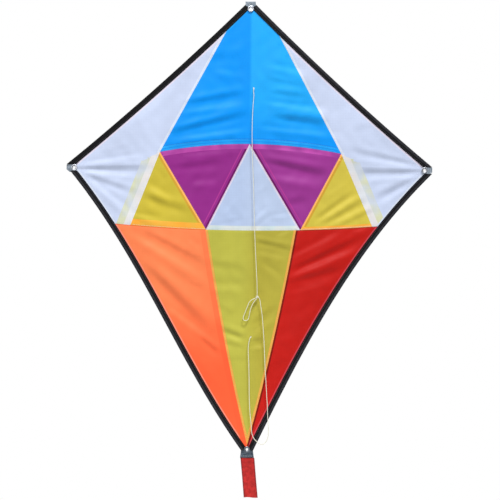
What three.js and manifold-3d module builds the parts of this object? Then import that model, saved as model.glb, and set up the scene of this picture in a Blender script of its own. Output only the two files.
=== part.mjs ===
// A diamond kite with a pieced fabric sail, in millimetres.
// X runs to the right as seen from the front, Y runs to the back and Z runs up.
// The origin is the middle of the nose eyelet, from which the kite hangs.
// Each half of the sail, with its half of the cross spar, flexes back about the spine's line, the Z axis.

import * as THREE from 'three';
import { mergeVertices } from 'three/addons/utils/BufferGeometryUtils.js';
import Module from 'manifold-3d';

const wasm = await Module();
wasm.setup();

// ---------- driving dimensions ----------

const GAP = 0.3; // between pieces that touch on the real kite
const FAR_OUT = 400; // past every edge of the kite, sideways or upwards
const FAR_DOWN = -900; // past its lowest point
const CUT_REACH = 9; // how far a cutter goes to the front and to the back of the sail's middle plane
const OVERRUN = 5; // how far a cutter runs on past the end of what it cuts

// Where the four eyelets are.
const NOSE = [0, 0];
const TIP_X = 338;
const TIP_Z = -309;
const TAIL = [0, -850.5];

// The sail and the tape that binds its edge.
const SAIL_THICK = 0.4;
const BINDING_WIDTH = 11;
const BINDING_THICK = 0.3;
const BINDING_INSIDE = SAIL_THICK / 2 + GAP; // from the sail's middle plane to the tape's inner face
const BINDING_OUTSIDE = BINDING_INSIDE + BINDING_THICK;
const SAIL_INSET = 1; // the sail's cut edge, inside the fold of the tape
const EDGE_STEPS = 18;

// The upper edge, from the nose to the tip, is the same on both sides and pulls in by its sag.
const UPPER_EDGE = { nose: [9, 9.5], tip: [352, -302], sag: 5 };

// The seams between the panels. Seams one and two are flat arcs, right across the kite.
const SEAM_ONE = { middle: -261, end: -278, reach: 175 };
const SEAM_TWO = { middle: -428, end: -418, reach: 245 };
const SEAM_STEPS = 10;
const SIDE_OVERLAP = 40; // how far the outer panels' regions run on past the sail's side edges
const TOP_OVERLAP = 20; // and past its top
const SHARPEST = 0.1; // a panel's sharp corner is drawn in by no more than 1 / SHARPEST of the gap

// Each side's own points, as [distance out from the spine, Z].
const SIDES = {
  left: {
    sign: -1,
    lowerEdge: [[346.5, -315], [207, -485], [136, -680], [14, -849]],
    blueCorner: [47.5, -45], // at the tape's inner edge, where the blue and the white panel part
    shoulder: 173, // where blue, white, magenta and yellow meet on seam one
    triangleFoot: 83, // where magenta, yellow and the centre triangle meet on seam two
    yellowFoot: 229, // the yellow panel's outer corner on seam two
    centreTop: 84, // the lower centre panel's corner on seam two
    centreBulge: [50, -640], // its edge passes near this point on the way down
    lowerColour: 0xff6f43,
    lowerName: 'orange_panel',
  },
  right: {
    sign: 1,
    lowerEdge: [[349.5, -319], [199, -470], [102, -664], [12.5, -851]],
    blueCorner: [51.5, -44],
    shoulder: 177,
    triangleFoot: 99,
    yellowFoot: 238,
    centreTop: 91,
    centreBulge: [54, -640],
    lowerColour: 0xc8252a,
    lowerName: 'red_panel',
  },
};
const CENTRE_FOOT_Z = -842; // where the lower centre panel comes to its point

// The rods, behind the sail.
const ROD_Y = 5;
const SPINE_RADIUS = 2;
const SPAR_RADIUS = 1.75;
const ROD_SIDES = 16;
const CAP_WALL = 0.5;
const CAP_GRIP = 8; // how far a cap reaches over its rod
const END_WALL = 0.8; // the closed end of a cap or pouch

// The corner tabs: webbing folded over the corner, with a pouch behind it for the rod's end.
const TAB = {
  width: 17.5,
  front: -1.6,
  frontInside: -1.1,
  rearInside: 1.5,
  rear: 2.1,
  reach: 15, // from the eyelet out to the fold
  frontLength: 8, // from the eyelet inward
  rearLength: 40,
};
const FOLD_WALL = 0.6;
const POUCH_BORE = 3.1;
const POUCH_RADIUS = 3.5;
const POUCH_START = 7.3; // from the eyelet's middle to the pouch's closed end
const SPINE_TAB_HALF = 9.5; // half the width of the nose and tail tabs
const TONGUE_HALF = 3; // half the width of the strip that carries their pouch
const SPINE_TAB_INSIDE = 8; // how far they reach in from the eyelet
const NOSE_REACH = 14;
const TAIL_REACH = 16.5;
const WING_CLEAR = 0.6; // beside the nose and tail tabs, for the wings to flex

// The eyelets and the washers that they are rolled over.
const EYELET = {
  bore: 2.5,
  barrel: 3,
  flange: 6,
  front: -2.5,
  flangeThick: 0.6,
  lipInner: 0.4, // the flange's slopes at the bore and at its rim
  lipOuter: 0.5,
  lipDrop: 0.3,
  roll: 3.9,
  rollThick: 0.3,
  rear: 3.5,
};
const EYELET_HOLE = EYELET.barrel + GAP;
const WASHER = { front: TAB.rear + GAP, thick: 0.5 };
const ROUND_STEPS = 24;

// The fitting where the rods cross.
const HUB = { radius: 4, endRadius: 3.5, length: 34 };
const SOCKET = { start: 6.2, end: 36, radius: 3.3, wall: 2.6 };

// The bridle cord and its ties round the spine.
const CORD_RADIUS = 0.7;
const CORD_SIDES = 8;
const TIE_SLACK = 0.05; // round a rod drawn with flat sides
const TIE_RADIUS = SPINE_RADIUS + GAP + CORD_RADIUS + TIE_SLACK;
const TIE_KNOT_RADIUS = 1.5;
const TIE_KNOT = [4.4, 5.3]; // X and Y
const CORD_HOLE = 2;
const CORD_STEPS = { lead: 10, upperLeg: 24, loop: 16, lowerLeg: 42 };
const UPPER_TIE_Z = -153;
const LOWER_TIE_Z = -633;
const KNOT_STEPS = [14, 10]; // round a knot, and from end to end
const TOW_KNOT = { at: [17, -5.8, -556], radii: [2.4, 2, 3] };

// The cord's route, [X, Y, Z] along its middle, in the order that it is tied.
const UPPER_LEAD = [
  [4.9, 4.5, -153], [5.9, 2.4, -153], [6.6, 0, -153.1], [7, -2.2, -153.6], [7.1, -4.2, -155.2],
  [6.9, -5.4, -157.6], [6.7, -5.6, -160.3],
];
const UPPER_LEG = [
  [6.7, -5.6, -160.6], [7.4, -5.8, -167], [7, -5.8, -175], [6.2, -5.8, -184], [5.5, -5.8, -197],
  [4.9, -5.8, -215], [4.6, -5.8, -238], [4.9, -5.8, -262], [5.8, -5.8, -290], [7.2, -5.8, -320],
  [8.6, -5.8, -350], [9.6, -5.8, -385], [10.8, -5.8, -420], [12.9, -5.8, -465], [15.2, -5.8, -505],
  [16.7, -5.8, -535], [17, -5.8, -552.6],
];
const LOWER_LEG = [
  [19.8, -5.8, -557.2], [21.6, -5.8, -559.8], [22.8, -5.8, -564], [23.8, -5.8, -571], [25.4, -5.8, -581],
  [27, -5.8, -592], [28.9, -5.8, -613], [30.6, -5.8, -635], [31.9, -5.8, -658], [33.4, -5.8, -690],
  [35.3, -5.8, -718], [37.2, -5.8, -748], [38.6, -5.8, -768], [39.3, -5.8, -785], [40.3, -5.8, -800],
  [41.2, -5.8, -813], [40.2, -5.8, -825.5], [36.2, -5.8, -835], [29.8, -5.8, -840], [23.6, -5.8, -838.6],
  [18.6, -5.8, -834.6], [14.2, -5.8, -830.2], [10.8, -5.8, -824.5], [8.8, -5.8, -817], [8, -5.8, -806],
  [6.2, -5.8, -790], [4.6, -5.8, -772], [3.4, -5.8, -745], [2.9, -5.8, -715], [2, -5.8, -685],
  [0.9, -5.8, -662], [0.8, -5.8, -653], [1.5, -5.8, -646], [2.6, -5.7, -640.6],
];
const LOWER_LEAD = [
  [2.7, -5.7, -640.3], [3.4, -5.4, -637.4], [4.2, -4.2, -635.1], [4.8, -2.2, -633.7], [5.2, 0, -633.1],
  [5.3, 2.4, -633], [4.9, 4.5, -633],
];
const TOW_LOOP = [
  [13.9, -5.8, -558.2], [11, -5.8, -559.4], [6.8, -5.8, -561.6], [2.6, -5.8, -565.5], [-0.6, -5.8, -572],
  [-3.4, -5.8, -579.5], [-6.6, -5.8, -587.5], [-9, -5.8, -594], [-9.4, -5.8, -598.6], [-6.6, -5.8, -601.6],
  [-2.4, -5.8, -601], [0.4, -5.8, -598], [1.8, -5.8, -593], [3.2, -5.8, -585], [5.6, -5.8, -576.5],
  [9.2, -5.8, -568.6], [12.8, -5.8, -563.2], [15.4, -5.8, -560.2],
];

// The ribbon tail: a straight strip that leans a little to the right.
const RIBBON = { width: 27, length: 76, topX: 1, lean: 7 };

// ---------- shapes ----------

// Signed volume tells whether the faces point out; a mesh that is inside out is turned.
function outward(geometry) {
  const merged = geometry.clone();
  merged.deleteAttribute('normal');
  merged.deleteAttribute('uv');
  const closed = mergeVertices(merged, 1e-4);
  const at = closed.attributes.position;
  const index = Array.from(closed.index.array);
  const [a, b, c] = [new THREE.Vector3(), new THREE.Vector3(), new THREE.Vector3()];
  let volume = 0;
  for (let i = 0; i < index.length; i += 3) {
    a.fromBufferAttribute(at, index[i]);
    b.fromBufferAttribute(at, index[i + 1]);
    c.fromBufferAttribute(at, index[i + 2]);
    volume += a.dot(b.cross(c));
  }
  if (volume < 0) index.reverse();
  closed.setIndex(index);
  return closed;
}

function solid(geometry) {
  const closed = outward(geometry);
  const mesh = new wasm.Mesh({
    numProp: 3,
    vertProperties: closed.attributes.position.array,
    triVerts: Uint32Array.from(closed.index.array),
  });
  return new wasm.Manifold(mesh);
}

function geometryOf(manifold) {
  const mesh = manifold.getMesh();
  const geometry = new THREE.BufferGeometry();
  geometry.setAttribute('position', new THREE.BufferAttribute(mesh.vertProperties, 3));
  geometry.setIndex(new THREE.BufferAttribute(mesh.triVerts, 1));
  geometry.computeVertexNormals();
  return geometry;
}

// A flat outline of [X, Z] points, thickened from one Y to another.
function plate(points, front, rear) {
  const shape = new THREE.Shape(points.map(([x, z]) => new THREE.Vector2(x, z)));
  const geometry = new THREE.ExtrudeGeometry(shape, { depth: rear - front, bevelEnabled: false });
  geometry.rotateX(Math.PI / 2);
  geometry.translate(0, rear, 0);
  return geometry;
}

function rectangle(x0, x1, z0, z1) {
  return [[x0, z0], [x1, z0], [x1, z1], [x0, z1]];
}

// A profile of [radius, height] points turned about an axis. The height runs along that axis.
function turned(profile, axis, at, steps = ROUND_STEPS) {
  const points = [...profile, profile[0]].map(([r, h]) => new THREE.Vector2(r, h));
  const geometry = new THREE.LatheGeometry(points, steps);
  if (axis === 'z') geometry.rotateX(Math.PI / 2);
  if (axis === 'x') geometry.rotateZ(-Math.PI / 2);
  geometry.translate(...at);
  return geometry;
}

function rod(radius, from, to, axis, at) {
  const profile = [[0, from], [radius, from], [radius, to], [0, to]].map(([r, h]) => new THREE.Vector2(r, h));
  const geometry = new THREE.LatheGeometry(profile, ROD_SIDES);
  if (axis === 'z') geometry.rotateX(Math.PI / 2);
  if (axis === 'x') geometry.rotateZ(-Math.PI / 2);
  geometry.translate(...at);
  return geometry;
}

// A cup: closed at one height and open at the other.
function cup(bore, radius, closedAt, openAt) {
  const inside = closedAt + Math.sign(openAt - closedAt) * END_WALL;
  return [[0, closedAt], [radius, closedAt], [radius, openAt], [bore, openAt], [bore, inside], [0, inside]];
}

function cordTube(points, steps) {
  const path = new THREE.CatmullRomCurve3(points.map((p) => new THREE.Vector3(...p)), false, 'centripetal');
  const section = new THREE.Shape();
  for (let i = 0; i < CORD_SIDES; i += 1) {
    const angle = (i / CORD_SIDES) * Math.PI * 2;
    const place = [CORD_RADIUS * Math.cos(angle), CORD_RADIUS * Math.sin(angle)];
    if (i === 0) section.moveTo(...place);
    else section.lineTo(...place);
  }
  section.closePath();
  return new THREE.ExtrudeGeometry(section, { steps, bevelEnabled: false, extrudePath: path });
}

// ---------- the sail's outline and seams ----------

function curvePoints(curve, steps) {
  return curve.getPoints(steps).map((p) => [p.x, p.y]);
}

// The upper edge of either half, from the nose out to the tip, as [distance out, Z].
function upperEdge() {
  const { nose, tip, sag } = UPPER_EDGE;
  const along = new THREE.Vector2(tip[0] - nose[0], tip[1] - nose[1]).normalize();
  const middle = [(nose[0] + tip[0]) / 2, (nose[1] + tip[1]) / 2];
  const pull = [middle[0] + along.y * 2 * sag, middle[1] - along.x * 2 * sag];
  const curve = new THREE.QuadraticBezierCurve(...[nose, pull, tip].map((p) => new THREE.Vector2(...p)));
  return curvePoints(curve, EDGE_STEPS);
}

function lowerEdge(side) {
  const curve = new THREE.CubicBezierCurve(...side.lowerEdge.map((p) => new THREE.Vector2(...p)));
  return curvePoints(curve, EDGE_STEPS);
}

// The same line moved by a distance to its right-hand side, which is inward for both edges.
function moved(points, distance) {
  return points.map(([x, z], i) => {
    const [x0, z0] = points[Math.max(i - 1, 0)];
    const [x1, z1] = points[Math.min(i + 1, points.length - 1)];
    const length = Math.hypot(x1 - x0, z1 - z0);
    return [x + ((z1 - z0) / length) * distance, z - ((x1 - x0) / length) * distance];
  });
}

function seamHeight(seam, out) {
  return seam.middle + (seam.end - seam.middle) * (out / seam.reach) ** 2;
}

function alongSeam(seam, from, to) {
  const points = [];
  for (let i = 0; i <= SEAM_STEPS; i += 1) {
    const out = from + ((to - from) * i) / SEAM_STEPS;
    points.push([out, seamHeight(seam, out)]);
  }
  return points;
}

function lowerCentreEdge(side) {
  const top = [side.centreTop, seamHeight(SEAM_TWO, side.centreTop)];
  const curve = new THREE.QuadraticBezierCurve(
    new THREE.Vector2(...top),
    new THREE.Vector2(...side.centreBulge),
    new THREE.Vector2(0, CENTRE_FOOT_Z),
  );
  return curvePoints(curve, SEAM_STEPS);
}

// A polygon shrunk by a distance on every side.
function shrunk(points, distance) {
  const turnsLeft = THREE.ShapeUtils.area(points.map(([x, z]) => new THREE.Vector2(x, z))) > 0;
  const side = turnsLeft ? -distance : distance;
  return points.map(([x, z], i) => {
    const [x0, z0] = points[(i + points.length - 1) % points.length];
    const [x1, z1] = points[(i + 1) % points.length];
    const before = new THREE.Vector2(x - x0, z - z0).normalize();
    const after = new THREE.Vector2(x1 - x, z1 - z).normalize();
    const normal = new THREE.Vector2(before.y + after.y, -before.x - after.x).normalize();
    const stretch = 1 / Math.max(normal.dot(new THREE.Vector2(before.y, -before.x)), SHARPEST);
    return [x + normal.x * side * stretch, z + normal.y * side * stretch];
  });
}

function onSide(side, points) {
  return points.map(([out, z]) => [side.sign * out, z]);
}

// The blocks where the nose and tail tabs are, which the wings' pieces stop short of.
function spineTabSpace() {
  const half = SPINE_TAB_HALF + WING_CLEAR;
  const nose = plate(rectangle(-half, half, -SPINE_TAB_INSIDE - GAP, NOSE_REACH + OVERRUN), -CUT_REACH, CUT_REACH);
  const tailTop = TAIL[1] + SPINE_TAB_INSIDE + GAP;
  const tail = plate(rectangle(-half, half, tailTop, FAR_DOWN), -CUT_REACH, CUT_REACH);
  return solid(nose).add(solid(tail));
}

function holeAt(x, z, radius) {
  return solid(rod(radius, -CUT_REACH, CUT_REACH, 'y', [x, 0, z]));
}

// ---------- pieces of one half ----------

// The whole half sail before it is cut into panels.
function sailBlank(side) {
  const outline = [
    [GAP / 2, 0],
    ...moved(upperEdge(), SAIL_INSET),
    ...moved(lowerEdge(side), SAIL_INSET),
    [GAP / 2, TAIL[1]],
  ];
  return solid(plate(onSide(side, outline), -SAIL_THICK / 2, SAIL_THICK / 2))
    .subtract(spineTabSpace())
    .subtract(holeAt(side.sign * TIP_X, TIP_Z, EYELET_HOLE));
}

// Each panel's region, a little larger than the sail wherever it reaches the sail's edge.
function panelRegions(side) {
  const shoulder = [side.shoulder, seamHeight(SEAM_ONE, side.shoulder)];
  const foot = [side.triangleFoot, seamHeight(SEAM_TWO, side.triangleFoot)];
  const yellowFoot = [side.yellowFoot, seamHeight(SEAM_TWO, side.yellowFoot)];
  const apex = [0, SEAM_ONE.middle];
  const edge = SEAM_TWO.reach + SIDE_OVERLAP;
  const centreEdge = lowerCentreEdge(side);
  return {
    blue_panel: [
      [0, TOP_OVERLAP], [side.blueCorner[0], TOP_OVERLAP], side.blueCorner,
      ...alongSeam(SEAM_ONE, side.shoulder, 0),
    ],
    white_panel: [
      [side.blueCorner[0], TOP_OVERLAP], [TIP_X + SIDE_OVERLAP, TOP_OVERLAP],
      [TIP_X + SIDE_OVERLAP, TIP_Z - SIDE_OVERLAP],
      ...alongSeam(SEAM_TWO, edge, side.yellowFoot), shoulder, side.blueCorner,
    ],
    magenta_panel: [...alongSeam(SEAM_ONE, side.shoulder, 0), foot],
    yellow_panel: [shoulder, ...alongSeam(SEAM_TWO, side.yellowFoot, side.triangleFoot)],
    centre_white_panel: [apex, ...alongSeam(SEAM_TWO, side.triangleFoot, 0)],
    lower_centre_panel: [...alongSeam(SEAM_TWO, 0, side.centreTop), ...centreEdge.slice(1)],
    [side.lowerName]: [
      ...alongSeam(SEAM_TWO, edge, side.centreTop), ...centreEdge.slice(1), [0, FAR_DOWN], [edge, FAR_DOWN],
    ],
  };
}

function cordHoles(side) {
  if (side.sign < 0) return null;
  const upper = UPPER_LEAD[2];
  const lower = LOWER_LEAD[4];
  return holeAt(upper[0], upper[2], CORD_HOLE).add(holeAt(lower[0], lower[2], CORD_HOLE));
}

function panel(side, blank, region) {
  const cutter = solid(plate(onSide(side, shrunk(region, GAP / 2)), -CUT_REACH, CUT_REACH));
  const cut = blank.intersect(cutter);
  const holes = cordHoles(side);
  return geometryOf(holes ? cut.subtract(holes) : cut);
}

// A tape folded over one edge of the sail. It stops at the tip's level, where the other tape starts.
function binding(side, edge, above) {
  const band = [...edge, ...moved(edge, BINDING_WIDTH).reverse()];
  const channel = [...moved(edge, BINDING_THICK), ...moved(edge, BINDING_WIDTH + OVERRUN).reverse()];
  const beyond = above
    ? rectangle(0, FAR_OUT, TIP_Z + GAP / 2, FAR_DOWN)
    : rectangle(0, FAR_OUT, TIP_Z - GAP / 2, FAR_OUT);
  const tape = solid(plate(onSide(side, band), -BINDING_OUTSIDE, BINDING_OUTSIDE))
    .subtract(solid(plate(onSide(side, channel), -BINDING_INSIDE, BINDING_INSIDE)))
    .subtract(solid(plate(onSide(side, beyond), -CUT_REACH, CUT_REACH)))
    .subtract(spineTabSpace())
    .subtract(holeAt(side.sign * TIP_X, TIP_Z, EYELET_HOLE));
  return geometryOf(tape);
}

// A tab folded over the tip, open towards the spine, with the spar's pouch on its rear layer.
function tipTab(side) {
  const half = TAB.width / 2;
  const fold = TIP_X + TAB.reach;
  const band = (from, to) => onSide(side, rectangle(from, to, TIP_Z - half, TIP_Z + half));
  const front = plate(band(TIP_X - TAB.frontLength, fold), TAB.front, TAB.frontInside);
  const rear = plate(band(TIP_X - TAB.rearLength, fold), TAB.rearInside, TAB.rear);
  const edge = plate(band(fold - FOLD_WALL, fold), TAB.front, TAB.rear);
  const start = TIP_X - POUCH_START;
  const mouth = TIP_X - TAB.rearLength;
  const profile = cup(POUCH_BORE, POUCH_RADIUS, side.sign * start, side.sign * mouth);
  const boreEnds = [side.sign * (start - END_WALL), side.sign * (mouth - OVERRUN)];
  const bore = rod(POUCH_BORE, ...boreEnds, 'x', [0, ROD_Y, TIP_Z]);
  return geometryOf(
    solid(front)
      .add(solid(rear))
      .add(solid(edge))
      .add(solid(turned(profile, 'x', [0, ROD_Y, TIP_Z], ROD_SIDES)))
      .subtract(solid(bore))
      .subtract(holeAt(side.sign * TIP_X, TIP_Z, EYELET_HOLE)),
  );
}

function spar(side) {
  const inner = SOCKET.start + SOCKET.wall + GAP;
  const outer = TIP_X - POUCH_START - 2 * END_WALL - 2 * GAP;
  return rod(SPAR_RADIUS, side.sign * inner, side.sign * outer, 'x', [0, ROD_Y, TIP_Z]);
}

function sparCap(side) {
  const end = TIP_X - POUCH_START - END_WALL - GAP;
  const bore = SPAR_RADIUS + GAP;
  const profile = cup(bore, bore + CAP_WALL, side.sign * end, side.sign * (end - CAP_GRIP));
  return turned(profile, 'x', [0, ROD_Y, TIP_Z], ROD_SIDES);
}

function sparSocket(side) {
  const bore = SPAR_RADIUS + GAP;
  const { start, end, radius, wall } = SOCKET;
  const profile = [[0, start], [radius, start], [radius, end], [bore, end], [bore, start + wall], [0, start + wall]];
  return turned(profile.map(([r, h]) => [r, side.sign * h]), 'x', [0, ROD_Y, TIP_Z], ROD_SIDES);
}

// ---------- pieces on the spine ----------

function eyelet(x, z) {
  const { bore, barrel, flange, front, flangeThick, lipInner, lipOuter, lipDrop, roll, rollThick, rear } = EYELET;
  const profile = [
    [bore, front + lipDrop], [bore + lipInner, front], [flange - lipOuter, front], [flange, front + lipDrop],
    [flange, front + flangeThick], [barrel, front + flangeThick], [barrel, rear - rollThick],
    [roll, rear - rollThick], [roll, rear], [bore, rear],
  ];
  return turned(profile, 'y', [x, 0, z]);
}

function washer(x, z) {
  const { front, thick } = WASHER;
  const inner = EYELET_HOLE;
  const profile = [[inner, front], [EYELET.flange, front], [EYELET.flange, front + thick], [inner, front + thick]];
  return turned(profile, 'y', [x, 0, z]);
}

// The nose or tail tab: the webbing, the tapes' ends and the sail's corner, sewn into one stiff block,
// with the pouch for the spine's end behind the sail. Direction is 1 at the nose and -1 at the tail.
function spineTab([x, z], direction, reach) {
  const half = SPINE_TAB_HALF;
  const inside = z - direction * SPINE_TAB_INSIDE;
  const block = plate(rectangle(x - half, x + half, inside, z + direction * reach), TAB.front, TAB.rear);
  const mouth = z - direction * TAB.rearLength;
  const tongue = plate(rectangle(x - TONGUE_HALF, x + TONGUE_HALF, mouth, z), TAB.rearInside, TAB.rear);
  const start = z - direction * POUCH_START;
  const profile = cup(POUCH_BORE, POUCH_RADIUS, start, mouth);
  const bore = rod(POUCH_BORE, start - direction * END_WALL, mouth - direction * OVERRUN, 'z', [x, ROD_Y, 0]);
  return geometryOf(
    solid(block)
      .add(solid(tongue))
      .add(solid(turned(profile, 'z', [x, ROD_Y, 0], ROD_SIDES)))
      .subtract(solid(bore))
      .subtract(holeAt(x, z, EYELET_HOLE)),
  );
}

function spineCap(z, direction) {
  const end = z - direction * (POUCH_START + END_WALL + GAP);
  const bore = SPINE_RADIUS + GAP;
  const profile = cup(bore, bore + CAP_WALL, end, end - direction * CAP_GRIP);
  return turned(profile, 'z', [0, ROD_Y, 0], ROD_SIDES);
}

function spineRod() {
  const short = POUCH_START + 2 * END_WALL + 2 * GAP;
  return rod(SPINE_RADIUS, NOSE[1] - short, TAIL[1] + short, 'z', [0, ROD_Y, 0]);
}

// The sleeve of the crossing fitting that grips the spine between the two spar sockets.
function centreHub() {
  const bore = SPINE_RADIUS + GAP;
  const half = HUB.length / 2;
  const profile = [
    [bore, -half], [HUB.endRadius, -half], [HUB.radius, -half / 2], [HUB.radius, half / 2], [HUB.endRadius, half],
    [bore, half],
  ];
  return turned(profile.map(([r, h]) => [r, TIP_Z + h]), 'z', [0, ROD_Y, 0]);
}

// A loop of the cord round the spine, its knot, and the end that leads through the sail.
function bridleTie(z, lead) {
  const loop = [];
  for (let i = 0; i < CORD_SIDES; i += 1) {
    const angle = (i / CORD_SIDES) * Math.PI * 2;
    loop.push([TIE_RADIUS + CORD_RADIUS * Math.cos(angle), z + CORD_RADIUS * Math.sin(angle)]);
  }
  const knot = new THREE.SphereGeometry(TIE_KNOT_RADIUS, ...KNOT_STEPS);
  knot.translate(...TIE_KNOT, z);
  const ring = turned(loop, 'z', [0, ROD_Y, 0], ROD_SIDES);
  return geometryOf(solid(ring).add(solid(knot)).add(solid(cordTube(lead, CORD_STEPS.lead))));
}

function towKnot() {
  const knot = new THREE.SphereGeometry(1, ...KNOT_STEPS);
  knot.scale(...TOW_KNOT.radii);
  knot.translate(...TOW_KNOT.at);
  return knot;
}

function ribbon() {
  const top = TAIL[1] - TAIL_REACH - GAP;
  const half = RIBBON.width / 2;
  const foot = RIBBON.topX + RIBBON.lean;
  const outline = [
    [RIBBON.topX - half, top], [RIBBON.topX + half, top],
    [foot + half, top - RIBBON.length], [foot - half, top - RIBBON.length],
  ];
  return plate(outline, -SAIL_THICK / 2, SAIL_THICK / 2);
}

// ---------- materials ----------

const CLOTH_ROUGHNESS = 0.6;
const LOOKS = {
  tape: { color: 0x15151a, roughness: 0.8 },
  tipTab: { color: 0x7c8790, roughness: 0.5 },
  tailTab: { color: 0x4a5158, roughness: 0.5 },
  eyelet: { color: 0xd5d8e0, roughness: 0.3, metalness: 1 },
  washer: { color: 0xc0c3ca, roughness: 0.4, metalness: 1 },
  rod: { color: 0x26262a, roughness: 0.4 },
  cap: { color: 0x1a1a1c, roughness: 0.7 },
  fitting: { color: 0x1a1a1c, roughness: 0.6 },
  cord: { color: 0xe8e8e2, roughness: 0.7 },
};
const RIBBON_COLOUR = 0xb9302c;
const material = (name) => new THREE.MeshStandardMaterial(LOOKS[name]);
const cloth = (color) => new THREE.MeshStandardMaterial({ color, roughness: CLOTH_ROUGHNESS });
const CLOTH_COLOURS = {
  blue_panel: 0x1493f0,
  white_panel: 0xcdd7ef,
  magenta_panel: 0xa03a94,
  yellow_panel: 0xd2c04b,
  centre_white_panel: 0xbccbe6,
  lower_centre_panel: 0xb9b84c,
};

// ---------- assembly ----------

const kite = new THREE.Group();

function place(parent, name, geometry, look) {
  const mesh = new THREE.Mesh(outward(geometry), look);
  mesh.name = name;
  parent.add(mesh);
}

function addWing(name, side) {
  const wing = new THREE.Group();
  const blank = sailBlank(side);
  const tip = [side.sign * TIP_X, TIP_Z];
  for (const [panelName, region] of Object.entries(panelRegions(side))) {
    const look = cloth(CLOTH_COLOURS[panelName] ?? side.lowerColour);
    place(wing, `${name}_${panelName}`, panel(side, blank, region), look);
  }
  place(wing, `${name}_upper_binding`, binding(side, upperEdge(), true), material('tape'));
  place(wing, `${name}_lower_binding`, binding(side, lowerEdge(side), false), material('tape'));
  place(wing, `${name}_tip_tab`, tipTab(side), material('tipTab'));
  place(wing, `${name}_tip_eyelet`, eyelet(...tip), material('eyelet'));
  place(wing, `${name}_tip_washer`, washer(...tip), material('washer'));
  place(wing, `${name}_spar`, spar(side), material('rod'));
  place(wing, `${name}_spar_cap`, sparCap(side), material('cap'));
  place(wing, `${name}_spar_socket`, sparSocket(side), material('fitting'));
  kite.add(wing);
}

function addSpine() {
  const spine = new THREE.Group();
  place(spine, 'spine_rod', spineRod(), material('rod'));
  place(spine, 'spine_top_cap', spineCap(NOSE[1], 1), material('cap'));
  place(spine, 'spine_bottom_cap', spineCap(TAIL[1], -1), material('cap'));
  place(spine, 'nose_tab', spineTab(NOSE, 1, NOSE_REACH), material('tipTab'));
  place(spine, 'tail_tab', spineTab(TAIL, -1, TAIL_REACH), material('tailTab'));
  for (const [name, at] of Object.entries({ nose: NOSE, tail: TAIL })) {
    place(spine, `${name}_eyelet`, eyelet(...at), material('eyelet'));
    place(spine, `${name}_washer`, washer(...at), material('washer'));
  }
  place(spine, 'centre_hub', centreHub(), material('fitting'));
  kite.add(spine);
}

function addBridle() {
  const bridle = new THREE.Group();
  place(bridle, 'upper_bridle_tie', bridleTie(UPPER_TIE_Z, UPPER_LEAD), material('cord'));
  place(bridle, 'bridle_upper_leg', cordTube(UPPER_LEG, CORD_STEPS.upperLeg), material('cord'));
  place(bridle, 'tow_knot', towKnot(), material('cord'));
  place(bridle, 'tow_loop', cordTube(TOW_LOOP, CORD_STEPS.loop), material('cord'));
  place(bridle, 'bridle_lower_leg', cordTube(LOWER_LEG, CORD_STEPS.lowerLeg), material('cord'));
  place(bridle, 'lower_bridle_tie', bridleTie(LOWER_TIE_Z, LOWER_LEAD), material('cord'));
  kite.add(bridle);
}

addSpine();
addWing('left', SIDES.left);
addWing('right', SIDES.right);
addBridle();
place(kite, 'tail_ribbon', ribbon(), cloth(RIBBON_COLOUR));

export default kite;
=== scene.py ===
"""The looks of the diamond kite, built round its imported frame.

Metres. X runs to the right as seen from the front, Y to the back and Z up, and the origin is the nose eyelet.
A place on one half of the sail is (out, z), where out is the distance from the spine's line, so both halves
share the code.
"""

import math

import bmesh
import bpy
import numpy as np
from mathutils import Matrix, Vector
from mathutils.geometry import delaunay_2d_cdt
from mathutils.kdtree import KDTree


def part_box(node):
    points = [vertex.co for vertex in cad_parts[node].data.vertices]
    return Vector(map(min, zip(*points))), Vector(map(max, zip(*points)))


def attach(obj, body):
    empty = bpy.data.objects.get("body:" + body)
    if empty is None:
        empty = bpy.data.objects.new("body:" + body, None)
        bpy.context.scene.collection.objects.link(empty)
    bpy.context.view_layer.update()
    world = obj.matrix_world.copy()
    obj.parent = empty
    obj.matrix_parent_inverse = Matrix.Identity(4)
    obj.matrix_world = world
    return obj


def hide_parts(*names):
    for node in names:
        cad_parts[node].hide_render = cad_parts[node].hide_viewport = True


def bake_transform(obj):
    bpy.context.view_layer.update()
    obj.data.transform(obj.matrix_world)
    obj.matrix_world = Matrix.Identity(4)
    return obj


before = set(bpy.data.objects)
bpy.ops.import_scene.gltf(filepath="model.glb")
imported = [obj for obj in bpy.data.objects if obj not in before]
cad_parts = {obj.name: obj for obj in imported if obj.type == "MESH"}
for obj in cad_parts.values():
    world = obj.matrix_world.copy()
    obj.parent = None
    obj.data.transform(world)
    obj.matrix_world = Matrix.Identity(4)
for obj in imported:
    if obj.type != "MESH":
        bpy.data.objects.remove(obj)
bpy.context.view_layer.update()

# ---------- driving dimensions ----------


def centre_of(node):
    """The middle of a CAD node's box."""
    low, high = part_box(node)
    return (low + high) / 2


TIP_X = centre_of("right_tip_eyelet").x
TIP_Z = centre_of("right_tip_eyelet").z
TAIL_Z = centre_of("tail_eyelet").z
ROD_Y = centre_of("spine_rod").y
RIBBON_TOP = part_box("tail_ribbon")[1].z
RIBBON_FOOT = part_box("tail_ribbon")[0].z

SAIL_THICK = 0.0002
SAIL_INSET = 0.001  # the sail's cut edge, inside the fold of the tape
BINDING_WIDTH = 0.011
EYELET_HOLE = 0.0033  # the hole in the cloth round an eyelet's barrel
CELL = 0.0045  # the spacing of the sail's mesh

UPPER_NOSE, UPPER_TIP, UPPER_SAG = (0.009, 0.0095), (0.352, -0.302), 0.005
SEAM_ONE = (-0.261, -0.278, 0.175)  # its height at the spine's line, its height at its reach, and its reach
SEAM_TWO = (-0.428, -0.418, 0.245)
CENTRE_FOOT = (0.0, -0.842)

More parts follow.
